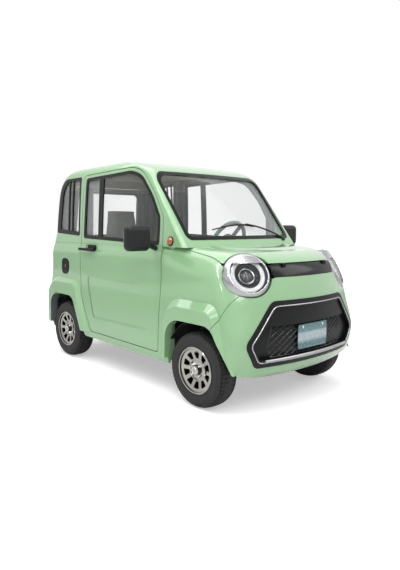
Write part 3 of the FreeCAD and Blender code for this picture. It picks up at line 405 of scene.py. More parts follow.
def copied(piece, name, rider, move=None, mirrored=False):  # a copy with its own mesh, moved or mirrored in x
    alone(piece)
    bpy.ops.object.duplicate(linked=False)
    other = bpy.context.object
    other.name = name
    other.data.name = name
    if "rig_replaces" in other:
        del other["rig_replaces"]
    if mirrored:
        other.data.transform(Matrix.Scale(-1, 4, (1, 0, 0)))
        other.data.flip_normals()
    if move is not None:
        other.data.transform(move)
    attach(other, rider)
    return other


def pair(piece, finish, slotName, sharp=35):  # a left piece on the body, and its mirror image
    name = piece.name.replace("_left", "_right")
    deliver(piece, finish, "body", sharp)
    copied(piece, name, "body", None, True)


def join(name, pieces):
    bpy.ops.object.select_all(action="DESELECT")
    for piece in pieces:
        piece.select_set(True)
    bpy.context.view_layer.objects.active = pieces[0]
    bpy.ops.object.join()
    whole = bpy.context.object
    whole.name = name
    whole.data.name = name
    return whole


def block(name, low, high, round=0.0, segments=2):  # a box between two corners, its edges rounded
    piece = begin("cube", name, size=1.0)
    middle = [(a + b) / 2 for a, b in zip(low, high)]
    pick(piece)
    bpy.ops.transform.resize(value=[b - a for a, b in zip(low, high)])
    bpy.ops.transform.translate(value=middle)
    if round:
        bpy.ops.mesh.bevel(offset=round, segments=segments, affect="EDGES")
    leave()
    return piece


def panel(name, low, high, round, finish, slotName, test, *steps):  # a block on the body with faces drawn in
    piece = block(name, low, high, round)
    inset(piece, test, *steps)
    deliver(piece, finish, "body")


def sheet(name, low, high, corner, segments, sign, *steps):  # an upright plate with round corners and a rim
    piece = block(name, low, high)
    pick(piece, lambda e: abs((e.verts[0].co - e.verts[1].co).y) > 0.002, "EDGE")
    bpy.ops.mesh.bevel(offset=corner, segments=segments, affect="EDGES")
    leave()
    inset(piece, toward("y", sign), *steps)
    return piece


def turned(name, outline, at, axis, steps=40, sweep=360.0, shut=True):
    # a profile of (radius, height) points, extruded point by point and spun about the axis
    piece = begin("plane", name, size=0.01)
    pick(piece, None, "VERT")
    bpy.ops.mesh.merge(type="CENTER")
    bpy.ops.transform.translate(value=(outline[0][0], 0, outline[0][1]))
    for before, after in zip(outline, outline[1:]):
        step = (after[0] - before[0], 0, after[1] - before[1])
        bpy.ops.mesh.extrude_region_move(TRANSFORM_OT_translate={"value": step})
    if shut:
        ends = [Vector((outline[i][0], 0, outline[i][1])) for i in (0, -1)]
        pick(piece, lambda v: min((v.co - end).length for end in ends) < 1e-6, "VERT")
        bpy.ops.mesh.edge_face_add()
    pick(piece, None, "VERT")
    bpy.ops.mesh.spin(steps=steps, angle=math.radians(sweep), center=(0, 0, 0), axis=(0, 0, 1))
    bpy.ops.mesh.select_all(action="SELECT")
    bpy.ops.mesh.remove_doubles(threshold=1e-5)
    bpy.ops.mesh.normals_make_consistent(inside=False)
    leave()
    turn = Vector(axis).to_track_quat("Z", "Y").to_matrix().to_4x4()
    if tuple(axis) == (1, 0, 0):
        turn = Matrix(((0, 0, 1, 0), (1, 0, 0, 0), (0, 1, 0, 0), (0, 0, 0, 1)))
    piece.matrix_world = Matrix.Translation(at) @ turn
    alone(piece)
    bpy.ops.object.transform_apply(location=True, rotation=True, scale=True)
    return piece


def bead(name, points, thick, loop=False, soft=True, rounds=2):  # a round bead along a line
    bpy.ops.object.select_all(action="DESELECT")
    bpy.ops.curve.primitive_nurbs_path_add()
    piece = bpy.context.object
    piece.name = name
    piece.data.splines.clear()
    line = piece.data.splines.new("NURBS" if soft else "POLY")
    line.points.add(len(points) - 1)
    for spot, point in zip(line.points, points):
        spot.co = (*point, 1)
    line.use_cyclic_u = loop
    line.use_endpoint_u = not loop
    line.order_u = 3
    line.resolution_u = 4
    piece.data.bevel_depth = thick
    piece.data.bevel_resolution = rounds
    piece.data.use_fill_caps = not loop
    alone(piece)
    bpy.ops.object.convert(target="MESH")
    piece = bpy.context.object
    piece.data.name = name
    return piece


def skin(names, start, direction):  # the first point of these nodes along a ray, and its normal
    found = []
    for name in names:
        hit, spot, normal, index = nodes[name].ray_cast(Vector(start), Vector(direction))
        if hit:
            found.append(((spot - Vector(start)).length, spot, normal))
    if not found:
        return None, None
    best = min(found, key=lambda item: item[0])
    return best[1].copy(), best[2].copy()


# tyres: blocks are raised on the tread band, and the sidewall has its ribs
tyreLook = {"pitches": 56, "groove": 0.006, "gap": 0.0021, "middle": 0.012, "edge": 0.06}
wall = [(0.129, 0.0612), (0.14, 0.0638), (0.144, 0.0662), (0.1465, 0.0664), (0.1485, 0.0688),
        (0.162, 0.0712), (0.17, 0.0722), (0.186, 0.0714), (0.1878, 0.07), (0.1905, 0.07), (0.1923, 0.0704),
        (0.199, 0.0676), (0.208, 0.0628), (0.214, 0.056), (0.2196, 0.04), (0.2219, 0.0165)]
tyre = turned("tyre_tread_front_left", wall + [(r, -h) for r, h in reversed(wall)], (0, 0, 0), (1, 0, 0),
              tyreLook["pitches"])
grooves = (tyreLook["gap"], tyreLook["groove"])
inset(tyre, lambda f: abs(mid(f).x) < tyreLook["middle"] and mid(f).yz.length > 0.2, grooves)
inset(tyre, lambda f: tyreLook["middle"] < abs(mid(f).x) < tyreLook["edge"] and mid(f).yz.length > 0.206,
      grooves, each=True)
tyre.data.transform(Matrix.Translation((halfTrack, frontAxle, wheelZ)))
deliver(tyre, tyreRubber, "wheel_front_left", 28)
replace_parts(tyre, "tyre_front_left")
for name, (x, y) in wheels.items():
    if name != "front_left":
        move = Matrix.Translation((0, y - frontAxle, 0))
        other = copied(tyre, "tyre_tread_" + name, "wheel_" + name, move, x < 0)
        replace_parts(other, "tyre_" + name)
print("tyres with tread")

# wheel nuts, centre ring and valve on each rim
nutLook = {"circle": 0.041, "count": 4, "nut": 0.0085, "valve": 0.112}
nuts = []
for number in range(nutLook["count"]):
    angle = math.radians(45 + 360 * number / nutLook["count"])
    spot = (0, math.cos(angle) * nutLook["circle"], math.sin(angle) * nutLook["circle"])
    nuts.append(turned("nut", [(0.0001, 0.0495), (nutLook["nut"], 0.0495), (nutLook["nut"], 0.059),
                               (0.0062, 0.0625), (0.0001, 0.0625)], spot, (1, 0, 0), 6))
nuts.append(turned("hub_ring", [(0.015, 0.0725), (0.017, 0.0742), (0.02, 0.0742), (0.0212, 0.0725)],
                   (0, 0, 0), (1, 0, 0), 32))
nuts.append(turned("valve", [(0.0001, 0.052), (0.0034, 0.052), (0.0034, 0.066), (0.0022, 0.068),
                             (0.0001, 0.068)], (0, 0, nutLook["valve"]), (1, 0, 0), 12))
nutSet = join("wheel_nuts_front_left", nuts)
nutSet.data.transform(Matrix.Translation((halfTrack, frontAxle, wheelZ)))
deliver(nutSet, chrome, "wheel_front_left", 25)
for name, (x, y) in wheels.items():
    if name != "front_left":
        move = Matrix.Translation((0, y - frontAxle, 0))
        copied(nutSet, "wheel_nuts_" + name, "wheel_" + name, move, x < 0)
print("wheel nuts")

# liners in the front arches
linerLook = {"radius": 0.293, "wall": 0.004, "inner": 0.327, "outer": 0.566, "low": 0.3, "rear": 0.256}
liner = turned("arch_liner_left", [
    (0.16, linerLook["inner"]), (0.285, linerLook["inner"]), (linerLook["radius"], 0.334),
    (linerLook["radius"], linerLook["outer"])], (0, frontAxle, wheelZ), (1, 0, 0), 36, -180.0, False)
cut(liner, (((0, 0, linerLook["low"]), (0, 0, 1)), ((0, frontAxle + linerLook["rear"], 0), (0, -1, 0))))
change(liner, "SOLIDIFY", thickness=linerLook["wall"], offset=1.0)
pick(liner)
bpy.ops.mesh.normals_make_consistent(inside=False)
leave()
pair(liner, satin, "black_trim")
print("arch liners")

# corner of the bumper, closing it to the end of the arch lip
cornerSpots = [(0.5835, -1.0475, 0.262), (0.5575, -1.075, 0.259), (0.58, -1.048, 0.302),
               (0.559, -1.064, 0.298)]
corner = begin("plane", "bumper_corner_left", size=1.0)
for vertex, spot in zip(corner.data.vertices, cornerSpots):
    vertex.co = spot
change(corner, "SOLIDIFY", thickness=0.003, offset=0.0)
change(corner, "BEVEL", width=0.0012, segments=2)
pair(corner, paint, "paint", 60)
print("bumper corners")

# headlamps: a raised bezel with its lid, guide ring, bowl, projector and clear cover, along the lamp's axis
lampLook = {"x": 0.42, "y": frontAxle - 0.244, "z": 0.806, "toe": 25.5, "tilt": 27.0, "radius": 0.1425,
            "rise": 0.03, "face": 0.118, "lid": 0.072, "ribs": 9, "rib": ((0.0565, -0.0205), (0.07, -0.0015))}
toe, tilt = math.radians(lampLook["toe"]), math.radians(lampLook["tilt"])
lampAxis = Vector((math.sin(toe) * math.cos(tilt), -math.cos(toe) * math.cos(tilt), math.sin(tilt)))
lampSpot = Vector((lampLook["x"], lampLook["y"], lampLook["z"]))
wide, rise, face = lampLook["radius"], lampLook["rise"], lampLook["face"]


def lampRing(name, outline, steps=72):
    return turned(name, outline, lampSpot, lampAxis, steps)


bezel = lampRing("headlamp_bezel_left", [
    (wide, -0.06), (wide, 0.0), (wide - 0.0025, 0.0045), (wide - 0.01, 0.015), (face + 0.006, rise - 0.003),
    (face + 0.001, rise), (face - 0.003, rise - 0.0005), (face - 0.004, rise - 0.014), (face - 0.007, -0.01),
    (wide - 0.012, -0.06)], 96)
lid = lampRing("lid", [
    (0.0001, rise + 0.01), (0.05, rise + 0.009), (0.09, rise + 0.005), (face - 0.0035, rise - 0.0003),
    (face - 0.0035, rise - 0.006), (0.09, rise - 0.001), (0.05, rise + 0.003), (0.0001, rise + 0.004)], 96)
cut(lid, (((0, 0, lampLook["z"] + lampLook["lid"]), (0, 0, 1)),), True)
bezel = join("headlamp_bezel_left", [bezel, lid])
deliver(bezel, silver, "body", 40)
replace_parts(bezel, "headlamps")
otherBezel = copied(bezel, "headlamp_bezel_right", "body", None, True)
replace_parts(otherBezel, "headlamps")
pair(lampRing("headlamp_bowl_left", [
    (face - 0.0045, -0.01), (face - 0.0045, 0.012), (face - 0.0115, 0.012), (face - 0.0115, 0.003),
    (0.076, 0.003), (0.073, 0.0), (0.058, -0.024), (0.047, -0.03), (0.047, -0.016), (0.043, -0.014),
    (0.0395, -0.018), (0.0395, -0.034), (0.0001, -0.034), (0.0001, -0.04), (0.062, -0.04),
    (0.095, -0.014)]), gloss, "black_trim", 30)
pair(lampRing("headlamp_guide_left", [
    (0.105, 0.0032), (0.1045, 0.009), (0.102, 0.0112), (0.098, 0.0118), (0.084, 0.0104), (0.08, 0.008),
    (0.079, 0.0032)]), whiteGuide, "silver", 40)
pair(lampRing("headlamp_projector_left", [
    (0.0001, 0.004), (0.01, 0.0032), (0.02, 0.0004), (0.029, -0.0048), (0.035, -0.0115), (0.039, -0.02),
    (0.039, -0.033), (0.0001, -0.033)]), darkLens, "glass", 50)
brightParts = [lampRing("headlamp_chrome_left", [
    (0.0475, -0.0155), (0.049, -0.0125), (0.047, -0.01), (0.044, -0.011), (0.043, -0.0135)])]
turn = lampAxis.to_track_quat("Z", "Y").to_matrix().to_4x4()
for number in range(lampLook["ribs"]):  # short ribs in the lower half of the bowl
    angle = math.radians(200 + 17.5 * number)
    inner, outer = (Vector((math.cos(angle) * r, math.sin(angle) * r, h)) for r, h in lampLook["rib"])
    spots = [lampSpot + turn @ spot for spot in (inner, inner * 0.5 + outer * 0.5, outer)]
    brightParts.append(bead("rib", spots, 0.0014, False, True, 1))
pair(join("headlamp_chrome_left", brightParts), chrome, "silver", 40)
pair(lampRing("headlamp_cover_left", [
    (0.0001, rise - 0.001), (0.04, rise - 0.0018), (0.08, rise - 0.0045), (0.104, rise - 0.009),
    (face - 0.0046, rise - 0.015), (face - 0.0062, rise - 0.0155), (0.103, rise - 0.0112),
    (0.079, rise - 0.0067), (0.04, rise - 0.004), (0.0001, rise - 0.0032)]), clear, "glass", 50)
print("headlamps")

# grille: silver line round the surround, blade below, lattice, corner fins
grilleLook = {"line": 0.0042, "blade": 0.01, "bladeZ": 0.3265, "pitch": 0.056, "rise": 0.04, "bar": 0.0068,
              "depth": 0.0125}
grilleLine = [(-0.438, 0.318), (-0.4985, 0.422), (-0.324, 0.634), (0.324, 0.634), (0.4985, 0.422),
              (0.438, 0.318)]


def onNose(x, z, proud):  # a point on the surround's face, from the front
    spot, normal = skin(["grille", "front_bumper"], (x, -1.6, z), (0, 1, 0))
    return (x, spot.y - proud, z)


def roundedLine(corners, reach, proud):  # control points along the runs, drawn in at the corners
    points = []
    for index, (x, z) in enumerate(corners):
        for (nx, nz), onward in ((corners[index - 1], False), (corners[(index + 1) % len(corners)], True)):
            length = math.hypot(nx - x, nz - z)
            points.append(onNose(x + (nx - x) * reach / length, z + (nz - z) * reach / length, proud))
            if not onward:
                points.append(onNose(x, z, proud))
                continue
            count = int(length / 0.04)
            for step in range(1, count):
                t = reach / length + (1 - 2 * reach / length) * step / count
                points.append(onNose(x + (nx - x) * t, z + (nz - z) * t, proud))
    return points


silverLine = bead("grille_line", roundedLine(grilleLine, 0.055, 0.0012), grilleLook["line"], True)
deliver(silverLine, silver, "body", 50)
bladePoints = [onNose(-0.4 + 0.8 * n / 12, grilleLook["bladeZ"], -0.002) for n in range(13)]
blade = bead("grille_blade", bladePoints, grilleLook["blade"], False, True, 3)
pick(blade, None, "VERT")
bpy.ops.transform.resize(value=(1, 0.8, 1), center_override=(0, bladePoints[6][1], grilleLook["bladeZ"]))
leave()
deliver(blade, silver, "body", 50)


noseLook = {"bow": 1.82, "behind": 0.004, "top": 0.645,
            "rows": ((0.215, 0.075), (0.26, 0.035), (0.34, 0.01), (0.46, 0.0), (0.58, 0.004), (0.68, 0.016))}


def noseY(x, z):  # the nose skin's front: set back by its rows, bowed in plan
    rows = noseLook["rows"]
    back = rows[-1][1]
    for (za, ya), (zb, yb) in zip(rows, rows[1:]):
        if za <= z <= zb:
            back = ya + (yb - ya) * (z - za) / (zb - za)
    return nosePoint.y + noseLook["behind"] + back + x * x / (2 * noseLook["bow"])


nosePoint = skin(["grille"], (0, -1.6, noseLook["top"]), (0, 1, 0))[0]
lattice = begin("grid", "grille_lattice", x_subdivisions=30, y_subdivisions=30, size=1.0)
cell = 1.0 / 30
spread = grilleLook["pitch"] / cell / math.sqrt(2)
pick(lattice)
bpy.ops.transform.resize(value=(spread, spread, 1))
leave()
lattice.data.transform(Matrix.Rotation(math.radians(45), 4, "Z"))
lattice.data.transform(Matrix.Scale(grilleLook["rise"] / grilleLook["pitch"], 4, (0, 1, 0)))
lattice.data.transform(Matrix.Translation((0, 0, 0.42)) @ Matrix.Rotation(math.radians(90), 4, "X"))
cut(lattice, (((0, 0, 0.338), (0, 0, 1)), ((0, 0, 0.514), (0, 0, -1)),
              ((-0.362, 0, 0.42), (1, 0, -0.25)), ((0.362, 0, 0.42), (-1, 0, -0.25)),
              ((-0.372, 0, 0.43), (1, 0, 0.35)), ((0.372, 0, 0.43), (-1, 0, 0.35))))
change(lattice, "WIREFRAME", thickness=grilleLook["bar"], use_boundary=True, use_even_offset=False)
for vertex in lattice.data.vertices:  # laid on the bowed nose
    vertex.co.y += noseY(vertex.co.x, vertex.co.z) + grilleLook["depth"]
deliver(lattice, latticeHighlighted, "body", 30)
fins = []
for sign in (-1, 1):
    for number in range(3):
        x = sign * (0.375 + 0.019 * number)
        low = onNose(x, 0.395 + 0.006 * number, -0.004)
        high = onNose(x + sign * 0.012, 0.47 - 0.01 * number, -0.004)
        kink = onNose(x + sign * 0.022, 0.432, -0.003)
        fins.append(bead("fin", [low, kink, high], 0.003, False, False, 1))
deliver(join("grille_fins", fins), chrome, "body", 40)
print("grille trim")

# blank plate with its holder and two bolts
plateSize = {"wide": 0.285, "high": 0.145, "z": 0.437}
plateZ = plateSize["z"]
plateFront = noseY(0, plateZ) + 0.004
holder = block("plate_holder", (-0.136, plateFront, plateZ - 0.066),
               (0.136, plateFront + 0.008, plateZ + 0.066), 0.003)
deliver(holder, satin, "body")
plate = sheet("front_plate", (-plateSize["wide"] / 2, plateFront - 0.0035, plateZ - plateSize["high"] / 2),
              (plateSize["wide"] / 2, plateFront - 0.0003, plateZ + plateSize["high"] / 2),
              0.014, 5, -1, (0.004, 0.0), (0.0015, -0.001))
deliver(plate, enamel, "body", 30)
bolts = [turned("bolt", [(0.0001, 0.0), (0.008, 0.0), (0.008, 0.003), (0.0055, 0.0048), (0.0001, 0.0052)],
                (x, plateFront - 0.0022, plateZ + 0.056), (0, -1, 0), 12) for x in (-0.098, 0.098)]
deliver(join("plate_bolts", bolts), chrome, "body", 40)
print("front plate")

# wiper over the windscreen
wiperLook = {"arm": 0.006, "blade": 0.0042, "proud": 0.013, "edge": 1.03, "slope": 0.6}
wiperLine = [(0.421, 0.989), (0.38, 1.01), (0.328, 1.032), (0.23, 1.064), (0.136, 1.084), (0.07, 1.093)]
bladeLine = [(0.15, 1.082), (0.083, 1.092), (0.013, 1.094), (-0.084, 1.087), (-0.176, 1.076), (-0.262, 1.062)]


def onScreen(x, z, proud):  # low points follow the glass's slope below its edge
    level = max(z, wiperLook["edge"])
    spot, normal = skin(["windshield", "window_frames"], (x, -1.4, level), (0, 1, 0))
    return (x, spot.y - proud - (level - z) * wiperLook["slope"], z + proud * 0.5)


arm = bead("arm", [onScreen(x, z, wiperLook["proud"] + 0.006) for x, z in wiperLine], wiperLook["arm"])
bar = bead("bar", [onScreen(x, z, wiperLook["proud"] + 0.001) for x, z in bladeLine[1:5]], 0.0046)
edge = bead("edge", [onScreen(x, z, 0.0065) for x, z in bladeLine], wiperLook["blade"])
pivot = turned("pivot", [(0.0001, -0.02), (0.014, -0.02), (0.0165, 0.002), (0.015, 0.013), (0.0001, 0.0165)],
               onScreen(*wiperLine[0], 0.01), (0, -0.75, 0.66), 24)
deliver(join("wiper", [arm, bar, edge, pivot]), satin, "body", 40)

# mirror glass, with a thin rim
paneLook = {"x": 0.75, "half": 0.072, "low": 0.951, "high": 1.077, "corner": 0.026}
for side, sign in sides:
    pane = sheet("mirror_glass_" + side, (-paneLook["half"], frontAxle + 0.4128, paneLook["low"]),
                 (paneLook["half"], frontAxle + 0.417, paneLook["high"]), paneLook["corner"], 6, 1,
                 (0.004, 0.0), (0.001, -0.0012))
    pane.data.transform(Matrix.Translation((sign * paneLook["x"], 0, 0)))
    deliver(pane, mirrorGlass, "door_" + side, 30)


def sideSpot(names, y, z, sign):  # a point of the body side and its outward normal
    return skin(names, (sign * 1.2, y, z), (-sign, 0, 0))


# amber marker lamps, door locks
markerLook = {"y": frontAxle + 0.28, "z": 0.993, "radius": 0.027}
wide = markerLook["radius"]
for side, sign in sides:
    spot, normal = sideSpot(["side_panel_" + side], markerLook["y"], markerLook["z"], sign)
    seat = turned("marker_seat_" + side, [
        (0.0001, -0.004), (wide + 0.004, -0.004), (wide + 0.0045, 0.003), (wide + 0.001, 0.0055),
        (wide - 0.002, 0.005), (0.0001, 0.005)], spot, normal, 40)
    deliver(seat, gloss, "body", 40)
    lens = turned("marker_lens_" + side, [
        (0.0001, 0.0172), (0.009, 0.0166), (0.017, 0.0142), (0.0225, 0.0105), (0.0252, 0.006),
        (0.0252, 0.0045), (0.0001, 0.0045)], spot, normal, 40)
    deliver(lens, amberLens, "body", 40)
    spot, normal = sideSpot(["handle_" + side, "door_" + side], frontAxle + 1.262, 0.928, sign)
    lock = turned("door_lock_" + side, [
        (0.0001, -0.002), (0.0085, -0.002), (0.0085, 0.0015), (0.0062, 0.0026), (0.005, 0.0014),
        (0.0001, 0.0014)], spot, normal, 24)
    deliver(lock, chrome, "door_" + side, 30)

# charge port behind its flap, and the flap's lock
socketLook = {"spot": (-0.472, frontAxle + 1.649, 0.751), "pins": 7, "circle": 0.0135, "turn": 51.4}
spot, normal = sideSpot(["charge_flap"], frontAxle + 1.648, 0.752, -1)
flapLock = turned("charge_flap_lock", [
    (0.0001, -0.001), (0.0125, -0.001), (0.0125, 0.0016), (0.0095, 0.003), (0.007, 0.0018), (0.0001, 0.0024)],
    spot, normal, 28)
deliver(flapLock, brass, "charge_flap", 30)
sx, sy, sz = socketLook["spot"]
socket = [turned("socket", [(0.0001, -0.002), (0.0237, -0.002), (0.0237, 0.01), (0.0215, 0.01),
                            (0.0215, 0.002), (0.0001, 0.002)], (sx, sy, sz), (-1, 0, 0), 36)]
for number in range(socketLook["pins"]):  # one in the middle, the rest round it
    angle = math.radians(socketLook["turn"] * number)
    reach = socketLook["circle"] if number else 0.0
    spot = (sx, sy + math.cos(angle) * reach, sz + math.sin(angle) * reach)
    socket.append(turned("pin", [(0.0001, 0.0), (0.003, 0.0), (0.003, 0.01), (0.002, 0.0115),
                                 (0.0001, 0.0115)], spot, (-1, 0, 0), 12))
deliver(join("charge_socket", socket), satin, "body", 35)
print("wiper, mirror glass, markers and charge port")


# tail: lamp ribs and guides, reflectors, brake bar, handle and plate
def onTail(names, x, z, proud):  # a point on the rear, and how far it stands off
    spot, normal = skin(names, (x, 1.8, z), (0, -1, 0))
    return (x, spot.y + proud, z)


tailLook = {"ribs": 7, "rib": (0.458, 0.476, 0.496, 0.514), "ribZ": 0.672, "pitch": 0.0325,
            "guide": (0.4865, 0.77), "guideHalf": (0.03, 0.115), "plateZ": 0.745, "handleZ": 0.885,
            "brakeZ": 1.415}
for side, sign in sides:
    ribs = []
    for number in range(tailLook["ribs"]):
        z = tailLook["ribZ"] + tailLook["pitch"] * number
        line = [onTail(["tail_lamps"], sign * x, z, 0.0005) for x in tailLook["rib"]]
        ribs.append(bead("rib", line, 0.003, False, True, 1))
    deliver(join("tail_ribs_" + side, ribs), redLens, "body", 50)
    ring = []
    (x, z), (wide, tall) = tailLook["guide"], tailLook["guideHalf"]
    for number in range(30):
        a = math.radians(12 * number)
        ring.append(onTail(["tail_lamps"], sign * (x + wide * math.cos(a)), z + tall * math.sin(a), 0.0006))
    deliver(bead("tail_guide_" + side, ring, 0.0026, True), whiteGuide, "body", 50)
    reflector = turned("rear_reflector_" + side, [
        (0.0001, 0.0), (0.027, 0.0), (0.027, 0.004), (0.0245, 0.0062), (0.0225, 0.0052), (0.0001, 0.0062)],
        Vector(onTail(["rear_panel"], sign * 0.4, 0.44, -0.001)), (0, 1, 0), 32)
    deliver(reflector, redLens, "body", 30)
line = [onTail(["tailgate"], -0.11 + 0.22 * n / 8, tailLook["brakeZ"], 0.001) for n in range(9)]
deliver(bead("brake_bar", line, 0.008, False, True, 3), redLens, "tailgate", 50)
line = []
for n in range(9):  # the handle stands off the skin between its ends
    line.append(onTail(["tailgate"], -0.085 + 0.17 * n / 8, tailLook["handleZ"], 0.016 if 0 < n < 8 else 0.0))
deliver(bead("tailgate_handle", line, 0.0085, False, True, 3), gloss, "tailgate", 50)
tailY, plateZ = onTail(["tailgate"], 0.0, tailLook["plateZ"], 0.0)[1:]
rearHolder = block("rear_plate_holder", (-0.16, tailY - 0.012, plateZ - 0.085),
                   (0.16, tailY + 0.006, plateZ + 0.085), 0.004)
deliver(rearHolder, satin, "tailgate")
rearPlate = sheet("rear_plate", (-0.15, tailY + 0.0063, plateZ - 0.075),
                  (0.15, tailY + 0.009, plateZ + 0.075), 0.012, 4, 1, (0.005, 0.0), (0.001, -0.0008))
deliver(rearPlate, whitePlate, "tailgate", 30)
print("tail trim")


# padded pieces: blown up a little as cloth, with the movement held
def puffed(piece, voxel, pressure, most):
    change(piece, "REMESH", mode="VOXEL", voxel_size=voxel)
    rest = [vertex.co.copy() for vertex in piece.data.vertices]
    alone(piece)
    padding = piece.modifiers.new("padding", "CLOTH")
    padding.settings.quality = 5
    padding.settings.mass = 0.25
    padding.settings.use_pressure = True
    padding.settings.uniform_pressure_force = pressure
    padding.settings.effector_weights.gravity = 0
    for step in range(1, 21):
        bpy.context.scene.frame_set(step)
    bpy.ops.object.modifier_apply(modifier=padding.name)
    bpy.context.scene.frame_set(1)
    for vertex, start in zip(piece.data.vertices, rest):
        moved = vertex.co - start
        if moved.length > most:
            vertex.co = start + moved * (most / moved.length)
    change(piece, "SMOOTH", factor=0.5, iterations=4)
    change(piece, "SUBSURF", levels=1, render_levels=1)


def seam(piece, near, depth):  # a sewn channel, drawn in along a line
    pick(piece, near, "VERT")
    bpy.ops.transform.shrink_fatten(value=-depth)
    leave()


seatLook = {"half": 0.192, "x": -0.25, "voxel": 0.0095, "pressure": 4.0, "most": 0.02, "channel": 0.0045,
            "line": 0.0055}
half, seatX, line = seatLook["half"], seatLook["x"], seatLook["line"]
cushion = begin("cube", "seat_cushion_right", size=1.0)
sized(cushion, (2 * half, 0.44, 0.07), (seatX, frontAxle + 0.95, 0.448), 5)
nudge(cushion, lambda v: v.co.y < frontAxle + 0.76, (0, 0.006, -0.012))  # the front edge rolls over
nudge(cushion, lambda v: v.co.z > 0.47 and abs(v.co.x - seatX) < 0.1 and v.co.y > frontAxle + 0.8,
      (0, 0, -0.012))
puffed(cushion, seatLook["voxel"], seatLook["pressure"], seatLook["most"])
for x in (-0.112, 0.112):
    seam(cushion, lambda v: abs(v.co.x - seatX - x) < line and v.normal.z > 0.3, seatLook["channel"])
for y in (0.84, 0.93, 1.02):
    seam(cushion, lambda v: abs(v.co.y - frontAxle - y) < line and abs(v.co.x - seatX) < 0.112
         and v.normal.z > 0.3, seatLook["channel"])
deliver(cushion, cloth, "body", 60)
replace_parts(cushion, "front_seats")

backrest = begin("cube", "seat_back_right", size=1.0)
sized(backrest, (2 * half, 0.09, 0.8), (seatX, frontAxle + 1.18, 0.83), 9)
for vertex in backrest.data.vertices:  # narrowed to the head, leaning back, with raised sides
    up = (vertex.co.z - 0.43) / 0.8
    across = (vertex.co.x - seatX) / half
    narrow = 1.0 if up < 0.62 else 1.0 - 0.44 * ((up - 0.62) / 0.38) ** 0.85
    vertex.co.x = seatX + across * half * narrow
    vertex.co.y += 0.105 * up - 0.018 * across * across * (1.0 if up < 0.7 else 0.3)
puffed(backrest, seatLook["voxel"], seatLook["pressure"], seatLook["most"])
for x in (-0.105, 0.105):
    seam(backrest, lambda v: abs(v.co.x - seatX - x * (1.0 if v.co.z < 0.93 else 0.72)) < line
         and v.normal.y < -0.2 and v.co.z < 1.18, seatLook["channel"])
for z in (0.6, 0.71, 0.82, 0.955):
    seam(backrest, lambda v: abs(v.co.z - z) < line and abs(v.co.x - seatX) < 0.105 and v.normal.y < -0.2,
         seatLook["channel"])
deliver(backrest, cloth, "body", 60)
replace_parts(backrest, "front_seats")
move = Matrix.Translation((-2 * seatX, 0, 0))
for piece, name in ((cushion, "seat_cushion_left"), (backrest, "seat_back_left")):
    other = copied(piece, name, "body", move)
    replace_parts(other, "front_seats")

# seat bases, side covers and levers
for side, hand in sides:
    x = -hand * seatX
    base = block("seat_base_" + side, (x - 0.165, frontAxle + 0.785, 0.3012),
                 (x + 0.165, frontAxle + 1.165, 0.395), 0.012)
    inset(base, lambda f: abs(f.normal.x) > 0.9 or f.normal.y < -0.9, (0.018, -0.006), each=True)
    deliver(base, satin, "body")
    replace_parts(base, "front_seats")
    covers = []
    for sign in (-1, 1):
        cover = block("cover", (x + sign * 0.198 - 0.012, frontAxle + 0.8, 0.33),
                      (x + sign * 0.198 + 0.012, frontAxle + 1.23, 0.44), 0.008)
        nudge(cover, lambda v: v.co.z > 0.4 and v.co.y < frontAxle + 0.95, (0, 0, -0.045))
        covers.append(cover)
    lever = turned("lever", [(0.0001, 0.0), (0.02, 0.0), (0.02, 0.007), (0.015, 0.01), (0.0001, 0.01)],
                   (x + hand * 0.21, frontAxle + 1.17, 0.405), (hand, 0, 0), 24)
    deliver(join("seat_covers_" + side, covers + [lever]), satin, "body", 40)
print("front seats")

benchLook = {"seams": (-0.2, 0.0, 0.2), "line": 0.0065, "channel": 0.004, "voxel": 0.0115, "pressure": 3.5}
line = benchLook["line"]
bench = begin("cube", "rear_cushion", size=1.0)
sized(bench, (0.8, 0.255, 0.09), (0, rearAxle - 0.028, 0.522), 5)
puffed(bench, benchLook["voxel"], benchLook["pressure"], 0.016)
for x in benchLook["seams"]:
    seam(bench, lambda v: abs(v.co.x - x) < line and v.normal.z > 0.3, benchLook["channel"])
deliver(bench, cloth, "body", 60)
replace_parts(bench, "rear_seat")
benchBack = begin("cube", "rear_back", size=1.0)
sized(benchBack, (0.8, 0.065, 0.33), (0, frontAxle + 1.736, 0.76), 5)
puffed(benchBack, benchLook["voxel"], benchLook["pressure"], 0.014)
for x in benchLook["seams"]:
    seam(benchBack, lambda v: abs(v.co.x - x) < line and v.normal.y < -0.3, benchLook["channel"])
deliver(benchBack, cloth, "body", 60)
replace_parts(benchBack, "rear_seat")
box = block("rear_bench_box", (-0.405, rearAxle - 0.165, 0.4425), (0.405, rearAxle + 0.145, 0.478), 0.006)
deliver(box, satin, "body")
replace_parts(box, "rear_seat")
panel("boot_mat", (-0.425, 0.962, 0.4425), (0.425, 1.122, 0.45), 0.002, carpet, "dash",
      toward("z"), (0.012, 0.002))
print("rear seat and boot mat")

